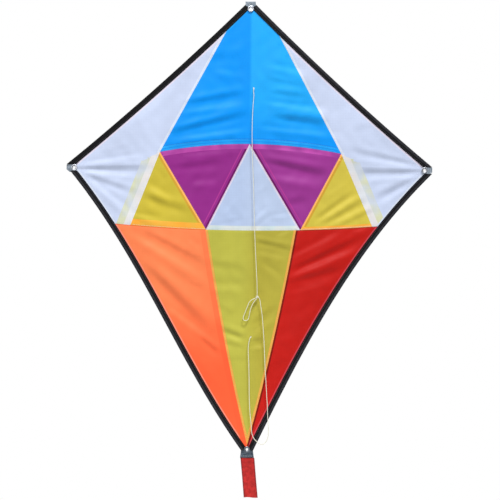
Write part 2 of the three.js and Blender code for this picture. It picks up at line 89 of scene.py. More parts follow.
SIDES = {
    "left": {
        "sign": -1,
        "lower_edge": [(0.3465, -0.315), (0.207, -0.485), (0.136, -0.68), (0.014, -0.849)],
        "blue_corner": (0.0475, -0.045),
        "shoulder": 0.173,
        "triangle_foot": 0.083,
        "yellow_foot": 0.229,
        "centre_top": 0.084,
        "centre_bulge": (0.05, -0.64),
        "lower": "orange",
    },
    "right": {
        "sign": 1,
        "lower_edge": [(0.3495, -0.319), (0.199, -0.47), (0.102, -0.664), (0.0125, -0.851)],
        "blue_corner": (0.0515, -0.044),
        "shoulder": 0.177,
        "triangle_foot": 0.099,
        "yellow_foot": 0.238,
        "centre_top": 0.091,
        "centre_bulge": (0.054, -0.64),
        "lower": "red",
    },
}

# Start and end given to bend by default; it doesn't use them.
BEND_START, BEND_END = 0.004, 0.024

# ---------- camera ----------

CAMERA_DISTANCE = 3.2
VIEW_WIDTH = 0.9655  # what the frame spans at the kite
VIEW_CENTRE = (0.0025, -0.4655)  # X and Z
KITE_TILT = 0.5  # degrees, clockwise as seen from the front


def place_camera():
    data = bpy.data.cameras.new("Camera")
    camera = bpy.data.objects.new("Camera", data)
    bpy.context.collection.objects.link(camera)
    data.sensor_width = 36
    data.lens = data.sensor_width * CAMERA_DISTANCE / VIEW_WIDTH
    data.clip_end = 30
    camera.location = (VIEW_CENTRE[0], -CAMERA_DISTANCE, VIEW_CENTRE[1])
    camera.rotation_euler = (math.radians(90), math.radians(-KITE_TILT), 0)
    bpy.context.scene.camera = camera


place_camera()

# ---------- materials ----------


def linear(code):
    """A colour written as six hexadecimal digits, as linear light."""
    parts = [int(code[i : i + 2], 16) / 255 for i in (0, 2, 4)]
    return [c / 12.92 if c <= 0.04045 else ((c + 0.055) / 1.055) ** 2.4 for c in parts] + [1.0]


class Nodes:
    """Builds one node material. Each call adds a node and gives back its output socket."""

    def __init__(self, name):
        self.material = bpy.data.materials.new(name)
        self.material.use_nodes = True
        self.tree = self.material.node_tree
        self.shader = self.tree.nodes["Principled BSDF"]
        self.place = self.add("ShaderNodeTexCoord").outputs["Object"]

    def add(self, kind, **settings):
        node = self.tree.nodes.new(kind)
        for key, value in settings.items():
            setattr(node, key, value)
        return node

    def fill(self, socket, value):
        if isinstance(value, bpy.types.NodeSocket):
            self.tree.links.new(value, socket)
        else:
            socket.default_value = value

    def maths(self, operation, *values):
        node = self.add("ShaderNodeMath", operation=operation)
        for socket, value in zip(node.inputs, values):
            self.fill(socket, value)
        return node.outputs[0]

    def times(self, first, second):
        return self.maths("MULTIPLY", first, second)

    def axis(self, name):
        node = self.add("ShaderNodeSeparateXYZ")
        self.fill(node.inputs[0], self.place)
        return node.outputs[name]

    def noise(self, scale, detail=3, stretch=(1, 1, 1)):
        mapping = self.add("ShaderNodeMapping")
        self.fill(mapping.inputs["Vector"], self.place)
        mapping.inputs["Scale"].default_value = stretch
        node = self.add("ShaderNodeTexNoise")
        self.fill(node.inputs["Vector"], mapping.outputs[0])
        node.inputs["Scale"].default_value = scale
        node.inputs["Detail"].default_value = detail
        return node.outputs["Fac"]

    def ramp(self, value, low, high, to_low=0.0, to_high=1.0):
        node = self.add("ShaderNodeMapRange", interpolation_type="SMOOTHSTEP")
        for key, number in zip(range(5), (value, low, high, to_low, to_high)):
            self.fill(node.inputs[key], number)
        return node.outputs[0]

    def vary(self, scale, detail, low, high):
        """A number that wanders between low and high from place to place."""
        return self.ramp(self.noise(scale, detail), 0.3, 0.7, low, high)

    def mix(self, share, first, second):
        node = self.add("ShaderNodeMix", data_type="RGBA")
        self.fill(node.inputs[0], share)
        self.fill(node.inputs[6], first)
        self.fill(node.inputs[7], second)
        return node.outputs[2]

    def shade(self, colour, amount):
        """The colour made darker or lighter by a factor that a socket gives."""
        node = self.add("ShaderNodeVectorMath", operation="SCALE")
        self.fill(node.inputs[0], colour if isinstance(colour, bpy.types.NodeSocket) else colour[:3])
        self.fill(node.inputs["Scale"], amount)
        return node.outputs[0]

    def threads(self, coordinate, pitch):
        """A row of threads across one coordinate, from 0 between them to 1 on top of each."""
        turns = self.times(coordinate, 2 * math.pi / pitch)
        return self.maths("MULTIPLY_ADD", self.maths("SINE", turns), 0.5, 0.5)

    def grid_line(self, coordinate, pitch, width):
        """1 on thin lines a pitch apart across one coordinate, and 0 elsewhere."""
        phase = self.maths("FRACT", self.maths("DIVIDE", coordinate, pitch))
        return self.maths("LESS_THAN", phase, width / pitch)

    def bump(self, height, distance, strength):
        node = self.add("ShaderNodeBump")
        node.inputs["Strength"].default_value = strength
        node.inputs["Distance"].default_value = distance
        self.fill(node.inputs["Height"], height)
        return node.outputs[0]

    def finish(self, colour, roughness, normal=None, **numbers):
        self.fill(self.shader.inputs["Base Color"], colour)
        self.fill(self.shader.inputs["Roughness"], roughness)
        if normal is not None:
            self.fill(self.shader.inputs["Normal"], normal)
        for key, value in numbers.items():
            self.shader.inputs[key.replace("_", " ")].default_value = value
        return self.material


THREAD_PITCH = 0.0006
RIPSTOP_PITCH = 0.005
RIPSTOP_WIDTH = 0.0006
TINT_START, TINT_WHOLE = -0.435, -0.415  # heights on a tape, on either side of seam two


def spar_shadow(n, x, z):
    """The factor that darkens cloth where the cross spar lies behind it."""
    away = n.maths("ABSOLUTE", n.maths("SUBTRACT", z, TIP_Z - 0.0005))
    spread = n.ramp(n.maths("ABSOLUTE", x), 0.2, 0.33, 0.0075, 0.0035)
    return n.ramp(n.maths("DIVIDE", away, spread), 0.45, 1.15, 0.84, 1.0)


def cloth_material(name, code, grade=None, blotch=None):
    """Thin coated polyester with a fine weave and a grid of thicker threads.

    A grade is an axis, where the colour starts to change along it, where it is done, what it changes to, and
    the Z range over which that change comes in, if it isn't there all the way down.
    A blotch is a second colour that shows in patches.
    """
    n = Nodes(name)
    x, z = n.axis("X"), n.axis("Z")
    colour = linear(code)
    if grade:
        axis, start, end, other, *above = grade
        share = n.ramp(n.axis(axis), start, end)
        if above:
            share = n.times(share, n.ramp(z, *above))
        colour = n.mix(share, colour, linear(other))
    if blotch:
        colour = n.mix(n.vary(34, 1, 0.0, 1.0), colour, linear(blotch))
    tone = n.times(n.ramp(n.noise(9, 2), 0.25, 0.75, 0.955, 1.045), n.vary(70, 2, 0.985, 1.015))
    if name == "white":
        tone = n.times(tone, spar_shadow(n, x, z))
    grid = n.maths("MAXIMUM", *(n.grid_line(axis, RIPSTOP_PITCH, RIPSTOP_WIDTH) for axis in (x, z)))
    tone = n.times(tone, n.maths("MULTIPLY_ADD", grid, -0.035, 1.004))
    weave = n.times(n.threads(x, THREAD_PITCH), n.threads(z, THREAD_PITCH))
    height = n.bump(n.maths("MULTIPLY_ADD", grid, 0.8, weave), 0.00004, 0.35)
    return n.finish(n.shade(colour, tone), n.vary(120, 2, 0.42, 0.5), height, Specular_IOR_Level=0.2)


def webbing_material(name, code, pitch=0.0011, roughness=0.6, pale=None, above=None):
    """Woven tape. A pale colour shows through its weave in patches. Another can tint it above seam two."""
    n = Nodes(name)
    x, z = n.axis("X"), n.axis("Z")
    ribs = n.threads(n.maths("ADD", x, z), pitch)
    weave = n.times(ribs, n.threads(n.maths("SUBTRACT", x, z), pitch))
    tone = n.times(n.vary(140, 3, 0.8, 1.2), n.maths("MULTIPLY_ADD", weave, 0.25, 0.88))
    colour = linear(code)
    if pale:
        colour = n.mix(n.ramp(n.noise(220, 2), 0.35, 0.7, 0.0, 0.7), colour, linear(pale))
    if above:
        colour = n.mix(n.ramp(z, TINT_START, TINT_WHOLE), colour, linear(above))
    return n.finish(n.shade(colour, tone), roughness, n.bump(weave, 0.00012, 0.6), Specular_IOR_Level=0.16)


def vinyl_material(name, code):
    """Soft moulded plastic with a faint grain."""
    n = Nodes(name)
    colour = n.shade(linear(code), n.vary(60, 3, 0.85, 1.15))
    return n.finish(colour, n.vary(90, 2, 0.36, 0.5), n.bump(n.noise(1500, 2), 0.0001, 0.25), IOR=1.46)


def rod_material(name, code, stretch):
    """Pulled fibreglass: fine streaks along the rod under a thin clear skin."""
    n = Nodes(name)
    streaks = n.noise(900, 3, stretch)
    colour = n.shade(linear(code), n.ramp(streaks, 0.3, 0.7, 0.6, 1.7))
    rough = n.ramp(streaks, 0.3, 0.7, 0.28, 0.42)
    return n.finish(colour, rough, n.bump(streaks, 0.00003, 0.5), Coat_Weight=0.3, IOR=1.5)


def metal_material(name, code):
    """Rolled and tumbled metal with light handling marks."""
    n = Nodes(name)
    marks = n.noise(700, 4)
    colour = n.shade(linear(code), n.vary(160, 3, 0.9, 1.08))
    return n.finish(colour, n.ramp(marks, 0.3, 0.75, 0.22, 0.42), n.bump(marks, 0.00002, 0.5), Metallic=1.0)


def cord_material(name, code):
    """Braided cord or thread, a little fuzzy and soiled."""
    n = Nodes(name)
    colour = n.shade(linear(code), n.vary(160, 3, 0.93, 1.04))
    fuzz = n.bump(n.noise(2600, 3), 0.00012, 0.5)
    return n.finish(colour, 0.75, fuzz, Sheen_Weight=0.4, Sheen_Roughness=0.6)


# Each cloth's colour, and the colours that it shows where it lies double, where it is stitched and
# where another cloth lies behind it.
CLOTH = {
    "blue": "0297f8",
    "blue_fold": "24acfb",
    "blue_stitched": "0a84e6",
    "white": "cbd6f0",
    "white_pale": "dde5f4",
    "white_stitched": "dcdfe4",
    "white_pink": "e4dcec",
    "white_green": "cfe0e0",
    "white_centre": "b6c7e6",
    "white_over_yellow": "cdd5e0",
    "magenta": "952a88",
    "magenta_fold": "c04cab",
    "magenta_dark": "701363",
    "magenta_light": "b63a93",
    "yellow": "cab73a",
    "yellow_orange": "fbad3c",
    "yellow_peach": "fdb560",
    "yellow_brown": "d0a034",
    "lime": "bab648",
    "lime_peach": "e8a44c",
    "orange": "ff8552",
    "orange_deep": "ff7c4b",
    "orange_pale": "ff927c",
    "orange_dark": "dd5528",
    "red": "c11912",
    "red_dark": "7d1208",
    "red_pale": "cf4450",
}
# Colours that change across a panel, as cloth_material's grade. Those along X are painted light and shade:
# they make one half of a panel lighter or darker than the other, as light falls on the two halves.
# Those along Z deepen the orange lower down.
GRADES = {
    "blue": ("X", -0.003, 0.005, "1fadfd", -0.27, -0.16),
    "white_centre": ("X", -0.03, 0.03, "bccce8"),
    "magenta": ("X", -0.05, 0.05, "9c3690"),
    "yellow": ("X", -0.1, 0.1, "d2c048"),
    "lime": ("X", -0.02, 0.03, "b3a83e"),
    "orange": ("Z", -0.5, -0.72, "ff6238"),
    "orange_deep": ("Z", -0.48, -0.7, "ff5f36"),
}
# Colours that show in patches over another.
BLOTCHES = {
    "white_over_yellow": "d6d8b4",
    "white_stitched": "e6e0dc",
    "magenta_fold": "a13d95",
    "blue_fold": "129cf5",
    "white_green": "dfe2dc",
    "yellow_orange": "eeb444",
}
LOOKS = {
    name: cloth_material(name, code, GRADES.get(name), BLOTCHES.get(name)) for name, code in CLOTH.items()
}
TAPE = webbing_material("binding_tape", "0c0b0e", 0.0009, 0.62)
# A lighter grey, painted as the highlight on a tape's rounded fold.
TAPE_FOLD_HIGHLIGHT = webbing_material("binding_tape_fold_highlight", "2b2b30", 0.0009, 0.66)
# Near-black with a painted reddish tint for the warm panels' light, turning navy above seam two.
TAPE_PANEL_GLOW = webbing_material("binding_tape_panel_glow", "1e0b0a", 0.0009, 0.62, above="0c0e20")
TAPE_THREAD = cord_material("tape_thread", "1c1c20")
THREAD_COLOURS = {
    "white": "eef1f6",
    "blue": "2aa2f0",
    "magenta": "a8489c",
    "yellow": "d8c860",
    "tab": "c4cad2",
}
THREADS = {name: cord_material(f"thread_{name}", code) for name, code in THREAD_COLOURS.items()}
TAB = webbing_material("tab_webbing", "77828e", 0.0012, 0.5, pale="a9b4be")
TAIL_TAB = webbing_material("tail_tab_webbing", "38424c", 0.0012, 0.5, pale="5c6874")
METAL = metal_material("eyelet_metal", "e4e6ee")
DULL_METAL = metal_material("tail_eyelet_metal", "8f959f")
SPINE_GLASS = rod_material("spine_fibreglass", "2b2b30", (1, 1, 0.02))
SPAR_GLASS = rod_material("spar_fibreglass", "2b2b30", (0.02, 1, 1))
VINYL = vinyl_material("vinyl", "1b1b1f")
CORD = cord_material("bridle_cord", "e3e1cc")
RIBBON = webbing_material("ribbon_red", "b62a28", 0.0014, 0.55)
RIBBON_EDGE = webbing_material("ribbon_edge", "8e2222", 0.0014, 0.6)

# ---------- shapes ----------


def mesh_piece(name, points, faces, materials, face_looks=None, flat=0):
    """One mesh object from points and faces. A face's look is its place in the list of materials.

    The last faces, as many as flat says, are the cut edges of a thin piece and aren't shaded smooth.
    """
    mesh = bpy.data.meshes.new(name)
    mesh.from_pydata([tuple(map(float, p)) for p in points], [], [tuple(map(int, f)) for f in faces])
    for material in materials:
        mesh.materials.append(material)
    if face_looks is not None:
        mesh.polygons.foreach_set("material_index", np.asarray(face_looks, np.int32))
    mesh.polygons.foreach_set("use_smooth", np.arange(len(faces)) < len(faces) - flat)
    corner_edges = np.zeros(len(mesh.loops), np.int32)
    mesh.loops.foreach_get("edge_index", corner_edges)
    first_flat_corner = sum(len(f) for f in faces[: len(faces) - flat])
    sharp = np.zeros(len(mesh.edges), bool)
    sharp[corner_edges[first_flat_corner:]] = True
    mesh.edges.foreach_set("use_edge_sharp", sharp)
    mesh.update()
    piece = bpy.data.objects.new(name, mesh)
    bpy.context.collection.objects.link(piece)
    return piece


def bezier(points, steps):
    """Points along a Bezier curve of two, three or four control points."""
    t = np.linspace(0, 1, steps + 1)[:, None]
    level = [np.array(p, float) * np.ones((steps + 1, 1)) for p in points]
    while len(level) > 1:
        level = [a + (b - a) * t for a, b in zip(level, level[1:])]
    return level[0]


def runs(line):
    """How far along a polyline each of its points lies."""
    return np.concatenate([[0], np.cumsum(np.linalg.norm(np.diff(line, axis=0), axis=1))])


def evenly(line, step):
    """The same polyline with points at an even spacing of about a step."""
    line = np.asarray(line, float)
    run = runs(line)
    places = np.linspace(0, run[-1], max(2, int(round(run[-1] / step)) + 1))
    return np.stack([np.interp(places, run, line[:, i]) for i in range(line.shape[1])], axis=1)


def lerp(first, second, low, high, u):
    """What lies at u on the way from the first, at low, to the second, at high."""
    return (high - u) / (high - low) * first + (u - low) / (high - low) * second


def spline(points, step):
    """A smooth curve through the points (centripetal Catmull-Rom), sampled at an even spacing."""
    p = np.asarray(points, float)
    p = np.vstack([2 * p[0] - p[1], p, 2 * p[-1] - p[-2]])
    rows = []
    for a, b, c, d in zip(p, p[1:], p[2:], p[3:]):
        t = [0.0]
        for first, second in ((a, b), (b, c), (c, d)):
            t.append(t[-1] + max(np.linalg.norm(second - first), 1e-9) ** 0.5)
        for u in np.linspace(t[1], t[2], 12, endpoint=False):
            middle = lerp(b, c, t[1], t[2], u)
            before = lerp(lerp(a, b, t[0], t[1], u), middle, t[0], t[2], u)
            after = lerp(middle, lerp(c, d, t[2], t[3], u), t[1], t[3], u)
            rows.append(lerp(before, after, t[1], t[2], u))
    return evenly(np.vstack([rows, [p[-2]]]), step)


def ring_faces(rings, size, closed=False):
    """Faces that join equal rings of points in a row, and cap both ends unless the row is closed."""
    faces = []
    for i in range(rings if closed else rings - 1):
        j = (i + 1) % rings
        for k in range(size):
            m = (k + 1) % size
            faces.append((i * size + k, i * size + m, j * size + m, j * size + k))
    if not closed:
        faces.append(tuple(range(size))[::-1])
        faces.append(tuple((rings - 1) * size + k for k in range(size)))
    return faces


def sweep(section, path, closed=False):
    """A section of (side, up) offsets at each run along a path, carried along it. Gives points and faces."""
    path = np.asarray(path, float)
    along = np.gradient(path, axis=0)
    if closed:
        along = np.roll(path, -1, axis=0) - np.roll(path, 1, axis=0)
    along /= np.linalg.norm(along, axis=1)[:, None]
    up = np.cross(along[0], [0.31, 0.94, 0.13])  # any direction that the path doesn't start in
    run = 0.0
    points = []
    for i, (place, direction) in enumerate(zip(path, along)):
        up = up - direction * np.dot(up, direction)
        up /= np.linalg.norm(up)
        side = np.cross(direction, up)
        if i:
            run += np.linalg.norm(path[i] - path[i - 1])
        ring = section(run)
        points.append(place + ring[:, :1] * side + ring[:, 1:] * up)
    return np.vstack(points), ring_faces(len(points), len(points[0]), closed)


def circle(radius, sides):
    turn = np.linspace(0, 2 * math.pi, sides, endpoint=False)
    return np.stack([radius * np.cos(turn), radius * np.sin(turn)], axis=1)


def lathe(profile, axis, centre, steps=64):
    """A profile of (radius, height) turned about an axis through the centre, closed on itself."""
    profile = np.asarray(profile, float)
    points = []
    for a in np.linspace(0, 2 * math.pi, steps, endpoint=False):
        place = [profile[:, 0] * math.cos(a), profile[:, 0] * math.sin(a)]
        place.insert("xyz".index(axis), profile[:, 1])
        points.append(np.stack(place, axis=1) + np.asarray(centre))
    return np.vstack(points), [(a, d, c, b) for a, b, c, d in ring_faces(steps, len(profile), closed=True)]


def joined(*shapes):
    """Several (points, faces) as one."""
    points, faces, start = [], [], 0
    for shape_points, shape_faces in shapes:
        points.append(np.asarray(shape_points))
        faces += [tuple(start + v for v in face) for face in shape_faces]
        start += len(shape_points)
    return np.vstack(points), faces


def remade(piece, change):
    """Lets change work on a piece's mesh as a bmesh, and turns the faces outward."""
    work = bmesh.new()
    work.from_mesh(piece.data)
    change(work)
    bmesh.ops.recalc_face_normals(work, faces=work.faces)
    work.to_mesh(piece.data)
    work.free()
    piece.data.update()


def facing_out(piece):
    """Turns a closed piece's faces outward, and merges points that lie on each other."""
    remade(piece, lambda work: bmesh.ops.remove_doubles(work, verts=work.verts, dist=1e-7))


def dressed(piece, body, node=None):
    """The piece with the body that it rides and the CAD node that it stands for."""
    if body:
        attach(piece, body)
    if node:
        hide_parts(node)
    return piece


def nearest(places, line):
    """Each place's distance to a polyline, and the run along it to the nearest point."""
    line = np.asarray(line, float)
    starts, steps = line[:-1], np.diff(line, axis=0)
    lengths = np.maximum(np.linalg.norm(steps, axis=1), 1e-9)
    runs = np.concatenate([[0], np.cumsum(lengths)])[:-1]
    gaps, where = np.empty(len(places)), np.empty(len(places))
    for low in range(0, len(places), 4000):
        some = places[low : low + 4000]
        away = some[:, None] - starts
        t = np.clip((away * steps).sum(axis=2) / lengths**2, 0, 1)
        square = ((away - t[..., None] * steps) ** 2).sum(axis=2)
        best = square.argmin(axis=1)
        rows = np.arange(len(some))
        gaps[low : low + 4000] = np.sqrt(square[rows, best])
        where[low : low + 4000] = runs[best] + t[rows, best] * lengths[best]
    return gaps, where


def inside(places, polygon):
    """Which places lie inside a polygon."""
    x, z = places[:, 0], places[:, 1]
    found = np.zeros(len(places), bool)
    for (x0, z0), (x1, z1) in zip(polygon, np.roll(polygon, -1, axis=0)):
        if z0 == z1:
            continue
        crosses = (z0 > z) != (z1 > z)
        found ^= crosses & (x < (x1 - x0) * (z - z0) / (z1 - z0) + x0)
    return found


def smoothstep(value, low, high):
    t = np.clip((value - low) / (high - low), 0, 1)
    return t * t * (3 - 2 * t)


# ---------- the bridle ----------

CORD_RADIUS = 0.0007
CORD_HOLE = 0.0016
STRAND_PITCH = 0.004  # one turn of the cord's three strands

CORD_LAY = -0.0058  # the Y of the cord's middle where it lies before the sail


def laid(*places):
    """Places in front of the sail, given as X and Z."""
    return [(x, CORD_LAY, z) for x, z in places]


# The cord's route along its middle, in the order that it is tied: from the upper tie through the sail to the
# tow knot, the loop there, and on to the lower tie.
UPPER_LEAD = [
    (0.0049, 0.0045, -0.153), (0.0059, 0.0024, -0.153), (0.0066, 0, -0.1531), (0.007, -0.0022, -0.1536),
    (0.0071, -0.0042, -0.1552), (0.0069, -0.0054, -0.1576), (0.0067, -0.0056, -0.1603),
]
UPPER_LEG = laid(
    (0.0074, -0.167), (0.007, -0.175), (0.0062, -0.184), (0.0055, -0.197), (0.0049, -0.215),
    (0.0046, -0.238), (0.0049, -0.262), (0.0058, -0.29), (0.0072, -0.32), (0.0086, -0.35),
    (0.0096, -0.385), (0.0108, -0.42), (0.0129, -0.465), (0.0152, -0.505), (0.0167, -0.535),
    (0.017, -0.5526),
)
LOWER_LEG = laid(
    (0.0198, -0.5572), (0.0216, -0.5598), (0.0228, -0.564), (0.0238, -0.571), (0.0254, -0.581),
    (0.027, -0.592), (0.0289, -0.613), (0.0306, -0.635), (0.0319, -0.658), (0.0334, -0.69),
    (0.0353, -0.718), (0.0372, -0.748), (0.0386, -0.768), (0.0393, -0.785), (0.0403, -0.8),
    (0.0412, -0.813), (0.0402, -0.8255), (0.0362, -0.835), (0.0298, -0.84), (0.0236, -0.8386),
    (0.0186, -0.8346), (0.0142, -0.8302), (0.0108, -0.8245), (0.0088, -0.817), (0.008, -0.806),
    (0.0062, -0.79), (0.0046, -0.772), (0.0034, -0.745), (0.0029, -0.715), (0.002, -0.685),
    (0.0009, -0.662), (0.0008, -0.653), (0.0015, -0.646),
)
LOWER_LEAD = [
    (0.0026, -0.0057, -0.6406), (0.0034, -0.0054, -0.6374), (0.0042, -0.0042, -0.6351),
    (0.0048, -0.0022, -0.6337), (0.0052, 0, -0.6331), (0.0053, 0.0024, -0.633), (0.0049, 0.0045, -0.633),
]
TOW_LOOP = laid(
    (0.0139, -0.5582), (0.011, -0.5594), (0.0068, -0.5616), (0.0026, -0.5655), (-0.0006, -0.572),
    (-0.0034, -0.5795), (-0.0066, -0.5875), (-0.009, -0.594), (-0.0094, -0.5986), (-0.0066, -0.6016),
    (-0.0024, -0.601), (0.0004, -0.598), (0.0018, -0.593), (0.0032, -0.585), (0.0056, -0.5765),
    (0.0092, -0.5686), (0.0128, -0.5632), (0.0154, -0.5602),
)
UPPER_HOLE, LOWER_HOLE = UPPER_LEAD[2], LOWER_LEAD[4]
UPPER_TIE_Z, LOWER_TIE_Z = UPPER_LEAD[0][2], LOWER_LEAD[-1][2]
TIE_RADIUS = 0.00305
TIE_KNOT = (0.0044, ROD_Y + 0.0003)  # X and Y
KNOT_TUCK = 0.0035  # how far a cord runs on into its knot
CORD_STEP = 0.0006  # along a cord, between two rings of points


def strand_section(run):
    """Three strands twisted together, as a ring of (side, up) points that turns with the run."""
    turn = np.linspace(0, 2 * math.pi, 15, endpoint=False)
    radius = CORD_RADIUS * (0.89 + 0.11 * np.cos(3 * (turn - run * 2 * math.pi / STRAND_PITCH)))
    return np.stack([radius * np.cos(turn), radius * np.sin(turn)], axis=1)


def tucked(route, end, aim):
    """The route with one end carried on towards the middle of its knot."""
    place = np.array(route[end], float)
    way = np.array(aim, float) - place
    inner = place + way / np.linalg.norm(way) * min(KNOT_TUCK, np.linalg.norm(way) * 0.8)
    return [tuple(inner), *route] if end == 0 else [*route, tuple(inner)]


def make_cord(name, route, node):
    path = spline(route, CORD_STEP)
    piece = mesh_piece(name, *sweep(strand_section, path), [CORD], flat=2)
    dressed(piece, "spine", node)


def trefoil(centre, size, steps=72):
    """A closed overhand knot."""
    t = np.linspace(0, 2 * math.pi, steps, endpoint=False)
    x = np.sin(t) + 2 * np.sin(2 * t)
    z = np.cos(t) - 2 * np.cos(2 * t)
    return np.stack([x, -1.15 * np.sin(3 * t), z], axis=1) * np.asarray(size) + np.asarray(centre)


def knot_shape(centre, size):
    return sweep(strand_section, trefoil(centre, size), closed=True)


def tie_shape(z):
    """Two turns of cord round the spine, closed by a knot at its right."""
    turns, steps, rise = 2, 72, 0.0015
    t = np.linspace(0.25, turns * 2 * math.pi - 0.25, steps)
    x, y = TIE_RADIUS * np.cos(t), ROD_Y + TIE_RADIUS * np.sin(t)
    coil = np.stack([x, y, z + rise * (t / (2 * math.pi) - turns / 2)], axis=1)
    return joined(sweep(strand_section, coil), knot_shape((*TIE_KNOT, z), (0.00052, 0.0006, 0.00058)))


def make_knot(name, shape, node):
    return dressed(mesh_piece(name, *shape, [CORD]), "spine", node)


def make_bridle():
    knot = centre_of("tow_knot")
    tow_knot = make_knot("tow_knot_tied", knot_shape(knot, (0.00075, 0.0007, 0.00082)), "tow_knot")
    upper_tie = make_knot("upper_tie", tie_shape(UPPER_TIE_Z), "upper_bridle_tie")
    lower_tie = make_knot("lower_tie", tie_shape(LOWER_TIE_Z), "lower_bridle_tie")
    upper = tucked([*UPPER_LEAD, *UPPER_LEG], -1, knot)
    make_cord("upper_leg", upper, "bridle_upper_leg")
    lower = tucked([*LOWER_LEG, *LOWER_LEAD], 0, knot)
    make_cord("lower_leg", lower, "bridle_lower_leg")
    loop = tucked(tucked(TOW_LOOP, 0, knot), -1, knot)
    make_cord("loop", loop, "tow_loop")


make_bridle()

# ---------- the sail's lines ----------


def upper_edge():
    nose, tip = np.array(UPPER_NOSE), np.array(UPPER_TIP)
    along = (tip - nose) / np.linalg.norm(tip - nose)
    pull = (nose + tip) / 2 + np.array([along[1], -along[0]]) * 2 * UPPER_SAG
    return bezier([nose, pull, tip], 60)


def lower_edge(side):
    return bezier(side["lower_edge"], 80)


def moved(line, distance):
    """The same line moved to its right-hand side, which is inward for both edges."""
    along = np.gradient(line, axis=0)
    along /= np.linalg.norm(along, axis=1)[:, None]
    return line + np.stack([along[:, 1], -along[:, 0]], axis=1) * distance


def seam_height(seam, out):
    middle, end, reach = seam
    return middle + (end - middle) * (out / reach) ** 2


def seam_line(seam, start, end, steps=40):
    out = np.linspace(start, end, steps + 1)
    return np.stack([out, seam_height(seam, out)], axis=1)


def sail_lines(side):
    """The lines that part the panels of one half, by name."""
    shoulder = (side["shoulder"], seam_height(SEAM_ONE, side["shoulder"]))
    foot = (side["triangle_foot"], seam_height(SEAM_TWO, side["triangle_foot"]))
    yellow_foot = (side["yellow_foot"], seam_height(SEAM_TWO, side["yellow_foot"]))
    top = (side["centre_top"], seam_height(SEAM_TWO, side["centre_top"]))
    corner = np.array(side["blue_corner"])
    away = corner - np.array(shoulder)
    return {
        "upper_edge": upper_edge(),
        "lower_edge": lower_edge(side),
        "seam_one": seam_line(SEAM_ONE, 0, side["shoulder"]),
        "seam_two": seam_line(SEAM_TWO, 0, side["yellow_foot"] + 0.03),
        "blue_side": np.array([corner + away * 0.08, shoulder]),
        "white_foot": np.array([shoulder, yellow_foot]),
        "magenta_out": np.array([shoulder, foot]),
        "magenta_in": np.array([(0.0, SEAM_ONE[0]), foot]),
        "centre_edge": bezier([top, side["centre_bulge"], CENTRE_FOOT], 60),
    }


def panel_regions(side, lines):
    """Each panel's region, larger than the sail wherever it reaches the sail's edge."""
    shoulder, corner = lines["seam_one"][-1], np.array(side["blue_corner"])
    above, beyond, below = 0.05, 0.45, -0.95  # past the nose, the tips and the tail
    past_edge = 0.29  # where seam two has left the sail
    centre_edge = lines["centre_edge"][1:]
    to_yellow = seam_line(SEAM_TWO, past_edge, side["yellow_foot"])
    to_centre = seam_line(SEAM_TWO, past_edge, side["centre_top"])
    return {
        "blue": [(0, above), (corner[0], above), corner, *lines["seam_one"][::-1]],
        "white": [(corner[0], above), (beyond, above), (beyond, -0.41), *to_yellow, shoulder, corner],
        "magenta": [*lines["seam_one"], lines["magenta_out"][-1]],
        "yellow": [shoulder, *seam_line(SEAM_TWO, side["yellow_foot"], side["triangle_foot"])],
        "centre_white": [(0, SEAM_ONE[0]), *seam_line(SEAM_TWO, side["triangle_foot"], 0)],
        "lower_centre": [*seam_line(SEAM_TWO, 0, side["centre_top"]), *centre_edge],
        "lower": [*to_centre, *centre_edge, (0, below), (0.3, below)],
    }


# Bands along the seams, narrowest first: the panel, the line that the band follows, how far it reaches from
# that line, and its look. Seam allowances lie behind the panels and show as paler or darker bands.
BANDS = [
    ("blue", "seam_one", 0.0042, "blue_fold"),
    ("blue", "seam_one", 0.0054, "blue_stitched"),
    ("blue", "seam_one", 0.0092, "blue_fold"),
    ("blue", "seam_one", 0.0106, "blue_stitched"),
    ("blue", "upper_edge", 0.0134, "blue_fold"),
    ("white", "blue_side", 0.0045, "white_pale"),
    ("white", "upper_edge", 0.0142, "white_pink"),
    ("white", "lower_edge", 0.0135, "white_pale"),
    ("white", "white_foot", 0.0128, "white_stitched"),
    ("white", "white_foot", 0.0265, "white_over_yellow"),
    ("magenta", "seam_one", 0.0092, "magenta_fold"),
    ("magenta", "magenta_in", 0.0038, "magenta_dark"),
    ("magenta", "magenta_in", 0.0078, "magenta"),
    ("magenta", "magenta_in", 0.0096, "magenta_light"),
    ("yellow", "magenta_out", 0.0032, "yellow_peach"),
    ("yellow", "magenta_out", 0.0072, "yellow_brown"),
    ("centre_white", "magenta_in", 0.003, "white_pink"),
    ("centre_white", "seam_two", 0.0088, "white_green"),
    ("lower_centre", "centre_edge", 0.0042, "lime_peach"),
    ("lower", "lower_edge", 0.0134, "lower_pale"),
]
BAND_SLANT = 0.7  # the tops of the bands below the shoulder slope down from it
SIDE_BANDS = {
    "left": [
        ("yellow", "seam_two", 0.0125, "yellow_orange"),
        ("lower", "seam_two", 0.0012, "orange_dark"),
        ("lower", "centre_edge", 0.0105, "orange_deep"),
    ],
    "right": [
        ("yellow", "seam_two", 0.0032, "yellow_peach"),
        ("yellow", "seam_two", 0.0062, "yellow_orange"),
        ("lower", "seam_two", 0.0012, "red_dark"),
        ("lower", "centre_edge", 0.0036, "red_dark"),
    ],
}

# ---------- the sail's relief ----------

